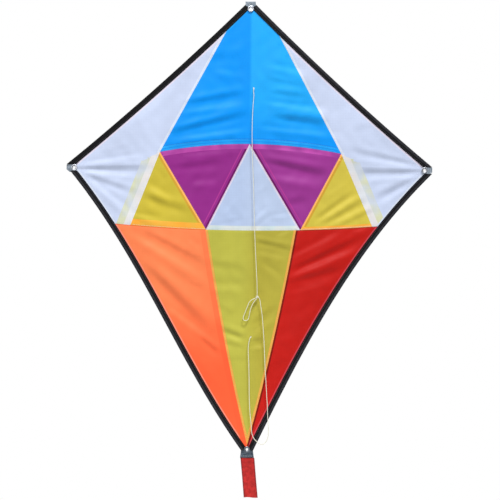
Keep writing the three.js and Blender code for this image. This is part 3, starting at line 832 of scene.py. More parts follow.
# Folds that the cloth's tension leaves: each end's x and z in millimetres, half its width, and how steeply it
# faces up (lighter) or down (darker).
FOLDS = [
    # White panels: creases that fan out from the tips.
    (-322, -302, -205, -284, 6, 0.16),
    (-326, -309, -200, -306, 7, -0.20),
    (-322, -316, -215, -325, 6, 0.16),
    (-316, -322, -226, -352, 8, -0.22),
    (-312, -330, -240, -388, 8, 0.14),
    (-300, -285, -220, -262, 7, -0.05),
    (316, -294, 195, -268, 7, -0.16),
    (320, -302, 205, -286, 6, 0.16),
    (324, -311, 215, -311, 7, -0.20),
    (322, -320, 222, -327, 6, 0.15),
    (318, -325, 248, -358, 9, -0.20),
    (305, -339, 250, -376, 8, 0.14),
    (262, -218, 205, -230, 9, -0.05),
    # Blue panels: slack waves that meet at the bridle's hole.
    (-124, -182, -14, -161, 9, -0.22),
    (-131, -200, -10, -181, 8, 0.17),
    (-150, -238, -8, -201, 10, -0.28),
    (-146, -254, -8, -233, 8, 0.22),
    (-90, -95, -20, -88, 14, -0.07),
    (-70, -120, -12, -128, 10, 0.08),
    (40, -159, 108, -166, 8, -0.17),
    (32, -181, 136, -195, 9, 0.18),
    (50, -206, 149, -218, 12, -0.27),
    (20, -229, 163, -243, 8, 0.17),
    (62, -62, 84, -100, 8, -0.17),
    (40, -110, 100, -124, 10, 0.14),
    (36, -134, 96, -146, 7, -0.11),
    # Magenta triangles.
    (-150, -286, -20, -272, 6, 0.13),
    (-146, -306, -50, -292, 11, -0.16),
    (-112, -338, -62, -334, 11, 0.13),
    (30, -291, 146, -314, 11, -0.29),
    (44, -322, 134, -336, 13, 0.20),
    (74, -372, 112, -364, 11, -0.13),
    (38, -268, 150, -282, 6, 0.16),
    # Centre triangle.
    (4, -414, 34, -384, 4, 0.25),
    (10, -421, 40, -394, 5, -0.18),
    (-52, -400, -30, -370, 5, 0.12),
    (14, -352, 32, -338, 4, 0.14),
    (-24, -340, -6, -322, 6, -0.09),
    (40, -402, 78, -396, 5, 0.16),
    (-60, -414, -14, -404, 5, -0.10),
    # Yellow triangles.
    (-198, -340, -150, -372, 10, 0.13),
    (-206, -360, -122, -388, 12, -0.20),
    (-224, -398, -168, -411, 8, 0.18),
    (-176, -306, -160, -330, 6, -0.11),
    (128, -404, 196, -352, 7, -0.20),
    (134, -408, 208, -358, 7, 0.22),
    (146, -412, 220, -365, 7, -0.24),
    (158, -415, 231, -377, 7, 0.20),
    (176, -418, 236, -386, 6, -0.15),
    (150, -360, 190, -330, 8, 0.09),
    # Orange panel: long folds that run down towards the spine.
    (-196, -432, -88, -488, 9, -0.17),
    (-222, -438, -92, -516, 13, 0.19),
    (-118, -446, -96, -462, 6, 0.11),
    (-114, -528, -90, -537, 5, -0.11),
    (-196, -498, -72, -618, 16, -0.25),
    (-160, -574, -84, -632, 8, 0.19),
    (-92, -633, -56, -664, 7, -0.30),
    (-132, -640, -60, -740, 14, -0.09),
    (-96, -690, -44, -770, 9, 0.05),
    # Red panel: sharper folds that rise from the spine to the edge.
    (86, -478, 176, -430, 9, 0.20),
    (88, -498, 224, -434, 8, -0.24),
    (86, -512, 212, -460, 9, 0.28),
    (80, -526, 190, -494, 9, -0.20),
    (80, -548, 168, -520, 10, 0.10),
    (70, -588, 132, -558, 13, -0.06),
    (54, -640, 100, -622, 13, 0.05),
    (44, -690, 84, -674, 12, -0.05),
    (196, -428, 226, -424, 6, 0.10),
    # Lower centre panels: soft pulls, tighter round the lower bridle hole.
    (10, -446, 86, -462, 7, -0.25),
    (16, -470, 76, -482, 9, 0.11),
    (-6, -438, 20, -432, 4, -0.14),
    (54, -438, 78, -430, 5, 0.14),
    (27, -494, 64, -520, 8, 0.11),
    (-74, -490, -4, -500, 12, -0.10),
    (-70, -536, -6, -540, 12, 0.11),
    (-58, -572, -30, -588, 8, -0.10),
    (4, -610, 50, -574, 9, -0.17),
    (8, -630, 48, -596, 7, 0.20),
    (-52, -616, -6, -634, 9, -0.28),
    (-48, -642, -4, -652, 7, -0.20),
    (-40, -630, -8, -640, 5, 0.17),
    (2, -640, 30, -636, 6, -0.28),
    (-2, -657, 30, -650, 5, 0.34),
    (-36, -676, 20, -672, 9, -0.07),
]
FOLD_SHARE = 1.55  # of those slopes
# Broad swellings, as x, z, radius and height towards the front.
SWELLS = [
    (-0.16, -0.22, 0.10, 0.0016),
    (0.16, -0.22, 0.10, 0.0012),
    (-0.09, -0.12, 0.06, -0.0008),
    (0.05, -0.13, 0.05, 0.0010),
    (-0.16, -0.50, 0.09, 0.0016),
    (0.14, -0.52, 0.09, 0.0012),
    (-0.05, -0.52, 0.07, -0.0010),
    (0.04, -0.54, 0.06, -0.0012),
    (-0.06, -0.72, 0.07, 0.0008),
    (0.05, -0.72, 0.07, 0.0008),
]
FINE_RIPPLE = 0.0003
PUCKER_PITCH = 0.013  # of the small waves beside seams and tapes
FURROW, FURROW_HALF = 0.00028, 0.0011  # the depth of the furrow along a seam, and half its width
SEAM_NAMES = ("seam_one", "seam_two", "blue_side", "white_foot", "magenta_out", "magenta_in", "centre_edge")


def relief(side, lines, places):
    """How far the sail stands back from its middle plane at each (out, z) of one half."""
    x, z = places[:, 0] * side["sign"], places[:, 1]
    forward = np.zeros(len(places))
    for *ends, width, slope in FOLDS:
        x0, z0, x1, z1, width = (value / 1000 for value in (*ends, width))
        length = math.hypot(x1 - x0, z1 - z0)
        t = ((x - x0) * (x1 - x0) + (z - z0) * (z1 - z0)) / length**2
        above = ((z - z0) * (x1 - x0) - (x - x0) * (z1 - z0)) / length * math.copysign(1, x1 - x0)
        spread = above / (width * (0.75 + 0.35 * np.clip(t, 0, 1)))
        fade = smoothstep(t, -0.15, 0.3) * smoothstep(-t, -1.2, -0.7)
        forward -= FOLD_SHARE * slope * width * spread * np.exp(-(spread**2)) * fade
    for x0, z0, radius, height in SWELLS:
        forward += height * np.exp(-(((x - x0) ** 2 + (z - z0) ** 2) / radius**2))
    across = np.sin(x / 0.0062 + 2.1 * np.sin(z / 0.021))
    down = np.sin(z / 0.0104 + 1.7 * np.sin(x / 0.033))
    forward += FINE_RIPPLE * across * down
    forward += FINE_RIPPLE * np.sin(x / 0.0131 - z / 0.0232 + 1.3 * np.sin(z / 0.04))
    upper, upper_run = nearest(places, lines["upper_edge"])
    lower, lower_run = nearest(places, lines["lower_edge"])
    edge, edge_run = np.minimum(upper, lower), np.where(upper < lower, upper_run, lower_run)
    forward *= smoothstep(edge, 0.006, 0.026) * (0.35 + 0.65 * smoothstep(places[:, 0], 0.0, 0.02))
    for name in SEAM_NAMES:
        gap, run = nearest(places, lines[name])
        forward -= FURROW * np.exp(-((gap / FURROW_HALF) ** 2))
        forward += 0.00010 * np.sin(run * 2 * math.pi / PUCKER_PITCH) * np.exp(-((gap / 0.007) ** 2))
    beside_tape = np.exp(-(((edge - 0.012) / 0.006) ** 2))
    forward += 0.00012 * np.sin(edge_run * 2 * math.pi / PUCKER_PITCH) * beside_tape
    return -forward


# ---------- the sail's mesh ----------


BAND_OVERRUN = 0.03  # how far a band's edges run on past the seam that it follows


def lengthened(line, extra):
    """The line with both ends carried on straight."""
    start = line[0] + (line[0] - line[1]) / np.linalg.norm(line[0] - line[1]) * extra
    end = line[-1] + (line[-1] - line[-2]) / np.linalg.norm(line[-1] - line[-2]) * extra
    return np.vstack([[start], line, [end]])


def sail_outline(lines):
    upper, lower = moved(lines["upper_edge"], SAIL_INSET), moved(lines["lower_edge"], SAIL_INSET)
    top, foot = (0.0, upper[0][1]), (0.0, TAIL_Z - 0.006)
    return np.vstack([[top], upper, lower, [foot]])


def round_hole(out, z):
    return circle(EYELET_HOLE, 24) + np.array([out, z])


def holes_of(side):
    """The cloth's holes: one at each eyelet, and two small ones on the right for the bridle."""
    holes = [round_hole(0, 0), round_hole(TIP_X, TIP_Z), round_hole(0, TAIL_Z)]
    if side["sign"] > 0:
        holes += [circle(CORD_HOLE, 12) + np.array([x, z]) for x, _, z in (UPPER_HOLE, LOWER_HOLE)]
    return holes


def guide_edges(side, lines, bands, outline):
    """The border and holes of one half, and the places and edges that they, its seams and bands need."""
    rings = [outline[:-1], *holes_of(side)]
    shoulder = lines["seam_one"][-1]
    strokes = [lines[name] for name in SEAM_NAMES] + [[shoulder, shoulder + (0.04, 0)]]
    for _, name, width, _ in bands:
        line = lengthened(lines[name], BAND_OVERRUN)
        strokes += [moved(line, -width), moved(line, width)]
    places, edges = [], []
    for ring in rings:
        start = len(places)
        places += list(ring)
        edges += [(start + i, start + (i + 1) % len(ring)) for i in range(len(ring))]
    for stroke in strokes:
        start = len(places)
        places += list(evenly(stroke, CELL))
        edges += [(i, i + 1) for i in range(start, len(places) - 1)]
    return rings, places, edges


def sail_triangles(side, lines, bands):
    """A triangle mesh of one half whose edges follow every seam and band. Gives places and triangles."""
    outline = sail_outline(lines)
    outline = evenly(np.vstack([outline, outline[:1]]), CELL)
    rings, places, edges = guide_edges(side, lines, bands, outline)
    margin = 0.02
    columns = np.arange(0, TIP_X + margin, CELL)
    grid = []
    for row, z in enumerate(np.arange(TAIL_Z - margin, margin, CELL * 0.87)):
        grid += [(x + (CELL / 2 if row % 2 else 0), z) for x in columns]
    grid = np.array(grid)
    grid = grid[inside(grid, outline)]
    taken = KDTree(len(places))
    for index, place in enumerate(places):
        taken.insert((*place, 0), index)
    taken.balance()
    places += [place for place in grid if taken.find((*place, 0))[2] > CELL * 0.6]
    scale = 1000  # the triangulation works in millimetres
    corners = [Vector((p[0] * scale, p[1] * scale)) for p in places]
    found, _, triangles, *_ = delaunay_2d_cdt(corners, edges, [], 0, 1e-3, False)
    points = np.array([(v.x / scale, v.y / scale) for v in found])
    triangles = np.array([t for t in triangles if len(t) == 3])
    middle = points[triangles].mean(axis=1)
    keep = inside(middle, outline)
    for hole in rings[1:]:
        keep &= ~inside(middle, hole)
    return points, triangles[keep]


def shell(points, triangles, thickness):
    """A thin closed body whose middle is an open surface."""
    a, b, c = (points[triangles[:, i]] for i in range(3))
    face = np.cross(b - a, c - a)
    normal = np.zeros_like(points)
    for i in range(3):
        np.add.at(normal, triangles[:, i], face)
    normal /= np.maximum(np.linalg.norm(normal, axis=1), 1e-12)[:, None]
    count = len(points)
    both = np.vstack([points + normal * thickness / 2, points - normal * thickness / 2])
    faces = [tuple(t) for t in triangles] + [tuple(t[::-1] + count) for t in triangles]
    borders = {}
    for t in triangles:
        for i in range(3):
            edge = (t[i], t[(i + 1) % 3])
            if (edge[1], edge[0]) in borders:
                del borders[(edge[1], edge[0])]
            else:
                borders[edge] = True
    walls = [(p, p + count, q + count, q) for p, q in borders]
    return both, faces + walls, len(walls)


def bend(piece, side_name, start=BEND_START, end=BEND_END):
    """Bakes the piece's placement into its mesh."""
    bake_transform(piece)


def choose_looks(side, panel, bands, middle, gaps):
    """A panel's looks, its own first, and which of them each triangle of the half would show in it."""
    own_names = {"lower": side["lower"], "centre_white": "white_centre", "lower_centre": "lime"}
    looks = [own_names.get(panel, panel)]
    choice = np.zeros(len(middle), int)
    taken = np.zeros(len(middle), bool)
    shoulder_z = seam_height(SEAM_ONE, side["shoulder"])
    for band_panel, line, width, look in bands:
        if band_panel != panel:
            continue
        look = look.replace("lower", side["lower"])
        if look not in looks:
            looks.append(look)
        chosen = ~taken & (gaps[line] < width)
        if line == "blue_side":
            chosen &= middle[:, 1] > shoulder_z
        if line == "white_foot":
            chosen &= middle[:, 1] < shoulder_z - BAND_SLANT * gaps[line]
        choice[chosen] = looks.index(look)
        taken |= chosen
    return looks, choice


def make_sail(side_name):
    """The panels of one half, each a thin closed shell."""
    side = SIDES[side_name]
    lines = sail_lines(side)
    bands = SIDE_BANDS[side_name] + BANDS
    places, triangles = sail_triangles(side, lines, bands)
    points = np.stack([places[:, 0] * side["sign"], relief(side, lines, places), places[:, 1]], axis=1)
    middle = places[triangles].mean(axis=1)
    gaps = {name: nearest(middle, lengthened(line, BAND_OVERRUN))[0] for name, line in lines.items()}
    for panel, region in panel_regions(side, lines).items():
        mine = inside(middle, np.array([tuple(p) for p in region]))
        looks, choice = choose_looks(side, panel, bands, middle, gaps)
        used, local = np.unique(triangles[mine], return_inverse=True)
        local = local.reshape(-1, 3)
        if side["sign"] > 0:
            local = local[:, ::-1]
        body, faces, walls = shell(points[used], local, SAIL_THICK)
        name = f"{side_name}_{side['lower'] if panel == 'lower' else panel}"
        shown = np.concatenate([choice[mine], choice[mine], np.zeros(walls, int)])
        piece = mesh_piece(f"{name}_cloth", body, faces, [LOOKS[look] for look in looks], shown, flat=walls)
        bend(piece, side_name)
        dressed(piece, None, f"{name}_panel")


for half in SIDES:
    make_sail(half)

# ---------- tapes, tabs and stitches ----------

TAPE_THICK = 0.0003
TAPE_FRONT = 0.00068  # from the sail's middle plane to the tape's middle
TIP_CUT_ABOVE, TIP_CUT_BELOW = 0.006, 0.0064  # where the two tapes end, above and below a tip's eyelet
NOSE_CUT = 0.0054
TAIL_CUT = 0.0037  # the lower tapes stop short of the tail eyelet's bore
TAIL_END = 0.0125  # below that eyelet's middle
EDGE_STEP = 0.003  # along the tapes and rows of stitches
FOLD_HIGHLIGHT_STRIPS = slice(4, 9)  # of a tape, round its fold, painted lighter grey as the highlight where the fold catches the light
PANEL_GLOW_STRIPS = slice(0, 2)  # of a lower tape, beside the panels, painted with a reddish tint for the warm panels' light
TAB_FRONT, TAB_REAR, TAB_THICK = 0.00135, 0.0018, 0.0005
TAB_REACH = 0.0148
POUCH_SEAM = 0.0068  # from the rod's line to the stitches at each side of the pouch
POUCH_START, POUCH_MOUTH = 0.0065, 0.04
STITCH_LENGTH, STITCH_PITCH, STITCH_RADIUS = 0.0023, 0.0031, 0.00023


def thick_grid(grid, thickness):
    """A closed body round an open grid of points. Gives points, faces and the number of edge faces."""
    grid = np.asarray(grid, float)
    rows, columns, _ = grid.shape
    down, right = np.gradient(grid, axis=0), np.gradient(grid, axis=1)
    normal = np.cross(down, right)
    normal /= np.maximum(np.linalg.norm(normal, axis=2), 1e-12)[..., None]
    count = rows * columns
    points = np.vstack([(grid + normal * reach / 2).reshape(-1, 3) for reach in (thickness, -thickness)])
    at = np.arange(count).reshape(rows, columns)
    a, b, c, d = (q.ravel() for q in (at[:-1, :-1], at[1:, :-1], at[1:, 1:], at[:-1, 1:]))
    faces = list(zip(a, b, c, d)) + list(zip(d + count, c + count, b + count, a + count))
    border = np.concatenate([at[0, :-1], at[:-1, -1], at[-1, :0:-1], at[:0:-1, 0]])
    ring = np.roll(border, -1)
    walls = [(p, q, q + count, p + count) for p, q in zip(border, ring)]
    return points, faces + walls, len(walls)


def trimmed(piece, place, outward):
    """Cuts a closed piece by a plane, drops what lies on the outward side and closes the cut."""

    def cut(work):
        everything = [*work.verts, *work.edges, *work.faces]
        plane = {"plane_co": place, "plane_no": outward}
        made = bmesh.ops.bisect_plane(work, geom=everything, clear_outer=True, **plane)
        rim = [e for e in made["geom_cut"] if isinstance(e, bmesh.types.BMEdge)]
        bmesh.ops.edgeloop_fill(work, edges=rim)

    remade(piece, cut)


def tape_profile():
    """Across a folded tape, from its front inner edge round the fold to its rear one, as (distance, Y)."""
    bend_start, bend_swell, bend_steps = 0.0022, 1.16, 8
    face = [(BINDING_WIDTH, 0.94), (0.0100, 0.96), (0.0085, 0.90), (0.0068, 1.0), (0.0050, 1.1)]
    front = [(d, -TAPE_FRONT * swell) for d, swell in [*face, (0.0034, bend_swell)]]
    fold = []
    for step in range(bend_steps + 1):
        angle = math.pi * step / bend_steps
        distance = bend_start * (1 - math.sin(angle)) + 0.0001
        fold.append((distance, -TAPE_FRONT * bend_swell * math.cos(angle)))
    return np.array(front + fold + [(d, -y) for d, y in front[::-1]])


def tip_lift(places):
    """How far a tape's front layer rises to lie over a tip's tab."""
    return 0.00112 * smoothstep(places[:, 0], TIP_X - 0.012, TIP_X - 0.006)


def make_tape(side_name, which):
    side = SIDES[side_name]
    sign = side["sign"]
    lines = sail_lines(side)
    edge = evenly(lengthened(lines[f"{which}_edge"], 0.012), EDGE_STEP)
    profile = tape_profile()
    columns = []
    for distance, depth in profile:
        places = moved(edge, distance)
        y = relief(side, lines, places) + depth - (tip_lift(places) if depth < 0 else 0)
        columns.append(np.stack([places[:, 0] * sign, y, places[:, 1]], axis=1))
    points, faces, walls = thick_grid(np.stack(columns, axis=1), TAPE_THICK)
    strips = len(profile) - 1
    strip_looks = np.zeros(strips, int)
    # Every tape but the upper left one gets the painted highlight round its fold.
    if (side_name, which) != ("left", "upper"):
        strip_looks[FOLD_HIGHLIGHT_STRIPS] = 1
    if which == "lower":
        strip_looks[PANEL_GLOW_STRIPS] = 2
    looks = np.concatenate([strip_looks[np.arange(len(faces) - walls) % strips], np.zeros(walls, int)])
    tapes = [TAPE, TAPE_FOLD_HIGHLIGHT, TAPE_PANEL_GLOW]
    piece = mesh_piece(f"{side_name}_{which}_tape", points, faces, tapes, looks, flat=walls)
    if which == "upper":
        trimmed(piece, (sign * NOSE_CUT, 0, 0), (-sign, 0, 0))
        trimmed(piece, (0, 0, TIP_Z + TIP_CUT_ABOVE), (0, 0, -1))
        trimmed(piece, (sign * (TIP_X + TAB_REACH), 0, 0), (sign, 0, 0))
    else:
        trimmed(piece, (0, 0, TIP_Z - TIP_CUT_BELOW), (0, 0, 1))
        trimmed(piece, (0, 0, TAIL_Z - TAIL_END), (0, 0, -1))
        trimmed(piece, (sign * TAIL_CUT, 0, 0), (-sign, 0, 0))
    bend(piece, side_name)
    dressed(piece, None, f"{side_name}_{which}_binding")


# A stitch's rings of points: the share of its length, of its radius, and how far it stands up, in radii.
STITCH_RINGS = [(-0.5, 0.35, -0.6), (-0.3, 1.0, 0.2), (0.3, 1.0, 0.2), (0.5, 0.35, -0.6)]
STITCH_SIDES = 6


def stitch_row(path, up):
    """Stitches along a path on a surface that faces up, half sunk in it. Gives points and faces."""
    path, up = np.asarray(path), np.array(up, float)
    run = runs(path)
    starts = np.arange(STITCH_PITCH / 2, run[-1] - STITCH_LENGTH / 2, STITCH_PITCH)
    stitch_faces = ring_faces(len(STITCH_RINGS), STITCH_SIDES)
    points, faces = [], []
    for start in starts:
        place, ahead = (
            np.array([np.interp(start + shift, run, path[:, i]) for i in range(3)])
            for shift in (0, STITCH_LENGTH / 2)
        )
        way = ahead - place
        way /= np.linalg.norm(way)
        side = np.cross(way, up)
        faces += [tuple(len(points) + v for v in face) for face in stitch_faces]
        for shift, swell, rise in STITCH_RINGS:
            centre = place + way * shift * STITCH_LENGTH + up * rise * STITCH_RADIUS
            for angle in np.linspace(0, 2 * math.pi, STITCH_SIDES, endpoint=False):
                spoke = side * math.cos(angle) + up * math.sin(angle)
                points.append(centre + spoke * swell * STITCH_RADIUS)
    return np.array(points), faces


def surface_row(side_name, line, offset, depth, face):
    """Stitches beside a line of one half, on the front (-1) or rear (1) of what lies depth off the sail."""
    side = SIDES[side_name]
    places = evenly(moved(line, offset), EDGE_STEP)
    rise = relief(side, sail_lines(side), places) + face * depth
    if face < 0 and depth > SAIL_THICK:
        rise = rise - tip_lift(places)
    path = np.stack([places[:, 0] * side["sign"], rise, places[:, 1]], axis=1)
    return stitch_row(path, (0, face, 0))


def within(line, low, high):
    """The stretch of a polyline between two runs along it. A negative high counts from the end."""
    line = evenly(line, 0.001)
    run = runs(line)
    return line[(run >= low) & (run <= (high if high > 0 else run[-1] + high))]


# Rows of stitches on the seams: the line, the stretch of it, the offset to its right, and the thread.
SEAM_ROWS = [
    ("seam_one", 0.002, -0.001, -0.0014, "blue"),
    ("seam_one", 0.002, -0.005, -0.0093, "blue"),
    ("blue_side", 0.004, -0.002, -0.0014, "white"),
    ("magenta_out", 0.003, -0.003, 0.0014, "magenta"),
    ("magenta_in", 0.003, -0.003, 0.0014, "magenta"),
    ("white_foot", 0.003, -0.003, -0.0014, "white"),
    ("seam_two", 0.002, -0.032, -0.0014, "white"),
    ("centre_edge", 0.003, -0.012, 0.0014, "yellow"),
]
TAPE_ROWS = [("upper_edge", 0.004, -0.012), ("lower_edge", 0.006, -0.008)]
TAPE_ROW_OFFSET = 0.0086


def make_stitches(side_name):
    """One piece for each thread of one half, with its rows on both faces of the sail."""
    lines = sail_lines(SIDES[side_name])
    on_tape = TAPE_FRONT * 0.9 + TAPE_THICK / 2
    groups = [("tape", TAPE_THREAD, "binding_tape", [(*row, TAPE_ROW_OFFSET, on_tape) for row in TAPE_ROWS])]
    for thread in sorted({row[-1] for row in SEAM_ROWS}):
        rows = [(*row[:-1], SAIL_THICK / 2) for row in SEAM_ROWS if row[-1] == thread]
        groups.append((f"thread_{thread}", THREADS[thread], "ripstop_white", rows))
    for name, look, slot, rows in groups:
        shapes = []
        for line, start, stop, offset, depth in rows:
            stretch = within(lines[line], start, stop)
            shapes += [surface_row(side_name, stretch, offset, depth, face) for face in (-1, 1)]
        piece = mesh_piece(f"{side_name}_{name}_stitches", *joined(*shapes), [look])
        bend(piece, side_name)
        dressed(piece, None)


# Each corner's eyelet, its way out along the rod, and its way across, in the frame.
CORNERS = {
    "nose": (np.array([0, 0, 0.0]), np.array([0, 0, 1.0]), np.array([1.0, 0, 0])),
    "tail": (np.array([0, 0, TAIL_Z]), np.array([0, 0, -1.0]), np.array([1.0, 0, 0])),
    "left_tip": (np.array([-TIP_X, 0, TIP_Z]), np.array([-1.0, 0, 0]), np.array([0, 0, 1.0])),
    "right_tip": (np.array([TIP_X, 0, TIP_Z]), np.array([1.0, 0, 0]), np.array([0, 0, 1.0])),
}
TIP_ROWS = [
    (-0.0044, -0.005, 0.006),
    (0.002, -0.0066, 0.0075),
    (0.0092, -0.0087, 0.0076),
    (0.0148, -0.0036, 0.0048),
]
# Each tab's outline, as rows of (out, lowest across, highest across) from the front layer's inner end to
# the fold.
TAB_ROWS = {
    "nose": [
        (-0.0036, -0.0048, 0.0048),
        (0.0044, -0.0052, 0.0052),
        (0.0056, -0.0099, 0.0096),
        (0.014, -0.0103, 0.0094),
    ],
    "tail": [
        (-0.0036, -0.005, 0.005),
        (0.0016, -0.0056, 0.0056),
        (0.003, -0.0116, 0.0116),
        (0.0162, -0.0133, 0.0133),
    ],
    "left_tip": TIP_ROWS,
    "right_tip": TIP_ROWS,
}
ROD_HALF = 0.0042  # half the width over which the pouch stands up for the rod
FRONT_STATIONS, FOLD_STATIONS, REAR_STATIONS = 22, 9, 48  # points along a tab's strip


def tab_bounds(rows, out):
    """The tab's lowest and highest across at a distance out."""
    outs, lows, highs = zip(*rows)
    return np.interp(out, outs, lows), np.interp(out, outs, highs)


def tab_point(corner, out, across, depth):
    place, way, side = CORNERS[corner]
    return place + way * out + side * across + np.array([0, depth, 0])


def tab_layers(corner):
    """The tab's strip: its front layer, the fold, and the rear layer back to the pouch's mouth, as a grid."""
    rows = TAB_ROWS[corner]
    radius = (TAB_FRONT + TAB_REAR) / 2
    bend_out = rows[-1][0] - radius
    middle = (TAB_REAR - TAB_FRONT) / 2
    stations = [(out, -TAB_FRONT) for out in np.linspace(rows[0][0], bend_out, FRONT_STATIONS)]
    for angle in np.linspace(0, math.pi, FOLD_STATIONS)[1:-1]:
        stations.append((bend_out + radius * math.sin(angle), middle - radius * math.cos(angle)))
    stations += [(out, TAB_REAR) for out in np.linspace(bend_out, -POUCH_MOUTH, REAR_STATIONS)]
    shares = np.linspace(0, 1, 17)
    grid = []
    for index, (out, depth) in enumerate(stations):
        low, high = tab_bounds(rows, out)
        if index > FRONT_STATIONS and out < rows[2][0]:
            low, high = rows[2][1:]
        sag = 0.00010 * np.sin(out / 0.0023) * np.cos(shares * 9 + out / 0.004)
        grid.append([tab_point(corner, out, low + (high - low) * t, depth + d) for t, d in zip(shares, sag)])
    return np.array(grid)


def pouch_layer(corner):
    """The pouch: a second layer that rises over the rod's end and lies flat at both sides, as a grid."""
    half = 0.0078
    depth = TAB_REAR + TAB_THICK + 0.00005
    grid = []
    for out in np.linspace(-POUCH_START + 0.003, -POUCH_MOUTH, 44):
        rise = 0.0060 * smoothstep(-out, POUCH_START - 0.003, POUCH_START + 0.003)
        rise += 0.0003 * smoothstep(-out, POUCH_MOUTH - 0.006, POUCH_MOUTH)
        row = []
        for across in np.linspace(-half, half, 33):
            bell = math.exp(-((across / ROD_HALF) ** 4))
            wrinkle = 0.00012 * math.sin(out / 0.0017 + 3 * math.sin(across / 0.002)) * bell
            row.append(tab_point(corner, out, across, depth + rise * bell + wrinkle))
        grid.append(row)
    return np.array(grid)


def tab_stitches(corner):
    """Rows of stitches along the tab's and the pouch's edges."""
    rows = []
    top = TAB_REAR + TAB_THICK * 1.5 + 0.00005
    for across in (-POUCH_SEAM, POUCH_SEAM):
        outs = np.linspace(-POUCH_START, -POUCH_MOUTH + 0.002, 30)
        rows.append(([tab_point(corner, out, across, top) for out in outs], 1))
    places = np.linspace(-POUCH_SEAM, POUCH_SEAM, 8)
    rows.append(([tab_point(corner, -POUCH_START + 0.0034, across, top) for across in places], 1))
    out = TAB_ROWS[corner][-1][0] - 0.0035
    low, high = tab_bounds(TAB_ROWS[corner], out)
    for depth, face in ((-TAB_FRONT - TAB_THICK / 2, -1), (TAB_REAR + TAB_THICK / 2, 1)):
        places = np.linspace(low + 0.0015, high - 0.0015, 10)
        rows.append(([tab_point(corner, out, across, depth) for across in places], face))
    return joined(*[stitch_row(line, (0, face, 0)) for line, face in rows])


def holed(piece, corner):
    """Cuts through a piece the hole that the corner's eyelet fills."""
    near_axis, reach = 0.0001, 0.004
    profile = [(near_axis, -reach), (EYELET_HOLE, -reach), (EYELET_HOLE, reach), (near_axis, reach)]
    cutter = mesh_piece("cutter", *lathe(profile, "y", CORNERS[corner][0], 32), [])
    facing_out(cutter)
    facing_out(piece)
    change = piece.modifiers.new("hole", "BOOLEAN")
    change.operation = "DIFFERENCE"
    change.object = cutter
    change.solver = "EXACT"
    bpy.context.view_layer.update()
    solid = bpy.data.meshes.new_from_object(piece.evaluated_get(bpy.context.evaluated_depsgraph_get()))
    piece.modifiers.clear()
    piece.data = solid
    bpy.data.objects.remove(cutter)


def corner_body(corner):
    return corner.replace("_tip", "_wing") if "tip" in corner else "spine"


def make_tab(corner):
    look = TAIL_TAB if corner == "tail" else TAB
    points, faces, walls = thick_grid(tab_layers(corner), TAB_THICK)
    tab = mesh_piece(f"{corner}_webbing", points, faces, [look], flat=walls)
    holed(tab, corner)
    points, faces, walls = thick_grid(pouch_layer(corner), TAB_THICK)
    pouch = mesh_piece(f"{corner}_pouch", points, faces, [look], flat=walls)
    facing_out(pouch)
    stitches = mesh_piece(f"{corner}_stitches", *tab_stitches(corner), [THREADS["tab"]])
    for piece, node in ((tab, f"{corner}_tab"), (pouch, None), (stitches, None)):
        dressed(piece, corner_body(corner), node)


# ---------- eyelets, rods and fittings ----------

EYELET_PROFILE = [  # radius, Y: the flange's rolled rim, its face, the bore, and the roll behind the washer
    (0.0060, -0.00215), (0.00588, -0.00238), (0.0056, -0.00248), (0.0050, -0.00252), (0.0041, -0.00246),
    (0.0034, -0.00236), (0.0029, -0.00218), (0.0026, -0.0018), (0.0025, -0.0012), (0.0025, 0.0026),
    (0.00258, 0.0031), (0.0028, 0.0034), (0.0032, 0.0035), (0.0037, 0.00338), (0.0039, 0.0031),
    (0.0037, 0.00295), (0.0032, 0.00302), (0.0030, 0.0028), (0.0030, -0.0016), (0.0034, -0.00186),
    (0.0045, -0.00198), (0.0056, -0.00196),
]
WASHER_PROFILE = [
    (0.0033, 0.0024), (0.0058, 0.0024), (0.006, 0.00255), (0.006, 0.00275), (0.0057, 0.0029),
    (0.0046, 0.00302), (0.0036, 0.00292), (0.0033, 0.0027),
]


def make_round(name, profile, axis, place, look, body, node):
    piece = mesh_piece(name, *lathe(profile, axis, place), [look])
    facing_out(piece)
    return dressed(piece, body, node)


def make_eyelet(corner):
    place, body = CORNERS[corner][0], corner_body(corner)
    rim = DULL_METAL if corner == "tail" else METAL
    parts = (("eyelet", "rolled", EYELET_PROFILE, rim), ("washer", "ring", WASHER_PROFILE, METAL))
    for part, kind, profile, look in parts:
        node = f"{corner}_{part}"
        make_round(f"{node}_{kind}", profile, "y", place, look, body, node)


SPINE_RADIUS, SPAR_RADIUS = 0.002, 0.00175
CAP_WALL = 0.00058
NEAR_AXIS = 0.00002  # a closed end's points lie this far from the axis
SOCKET_BEND = (0.0035, 0.012)  # given to bend as a socket's start and end; it doesn't use them


def rod_profile(radius, start, end):
    """A rod with broken edges at both ends, as (radius, run)."""
    edge = math.copysign(0.0004, end - start)
    middle = [(radius, run) for run in np.linspace(start + edge, end - edge, 9)]
    return [(NEAR_AXIS, start), (radius - 0.0004, start), *middle, (radius - 0.0004, end), (NEAR_AXIS, end)]


def cap_profile(inner, closed, mouth):
    """A soft cap over a rod's end: a domed end, two grip rings and a rolled lip at its mouth."""
    outer = inner + CAP_WALL
    way = math.copysign(1, mouth - closed)
    dome = [(NEAR_AXIS, closed), (outer * 0.5, closed + way * 0.0001), (outer * 0.85, closed + way * 0.0005)]
    rings = []
    for run in np.linspace(0.0012, abs(mouth - closed) - 0.0008, 18):
        rings.append((outer + 0.00012 * math.sin(run / 0.00035), closed + way * run))
    lip = [(outer + 0.0002, mouth - way * 0.0004), (outer, mouth), (inner, mouth)]
    return [*dome, *rings, *lip, (inner, closed + way * 0.0008), (NEAR_AXIS, closed + way * 0.0008)]


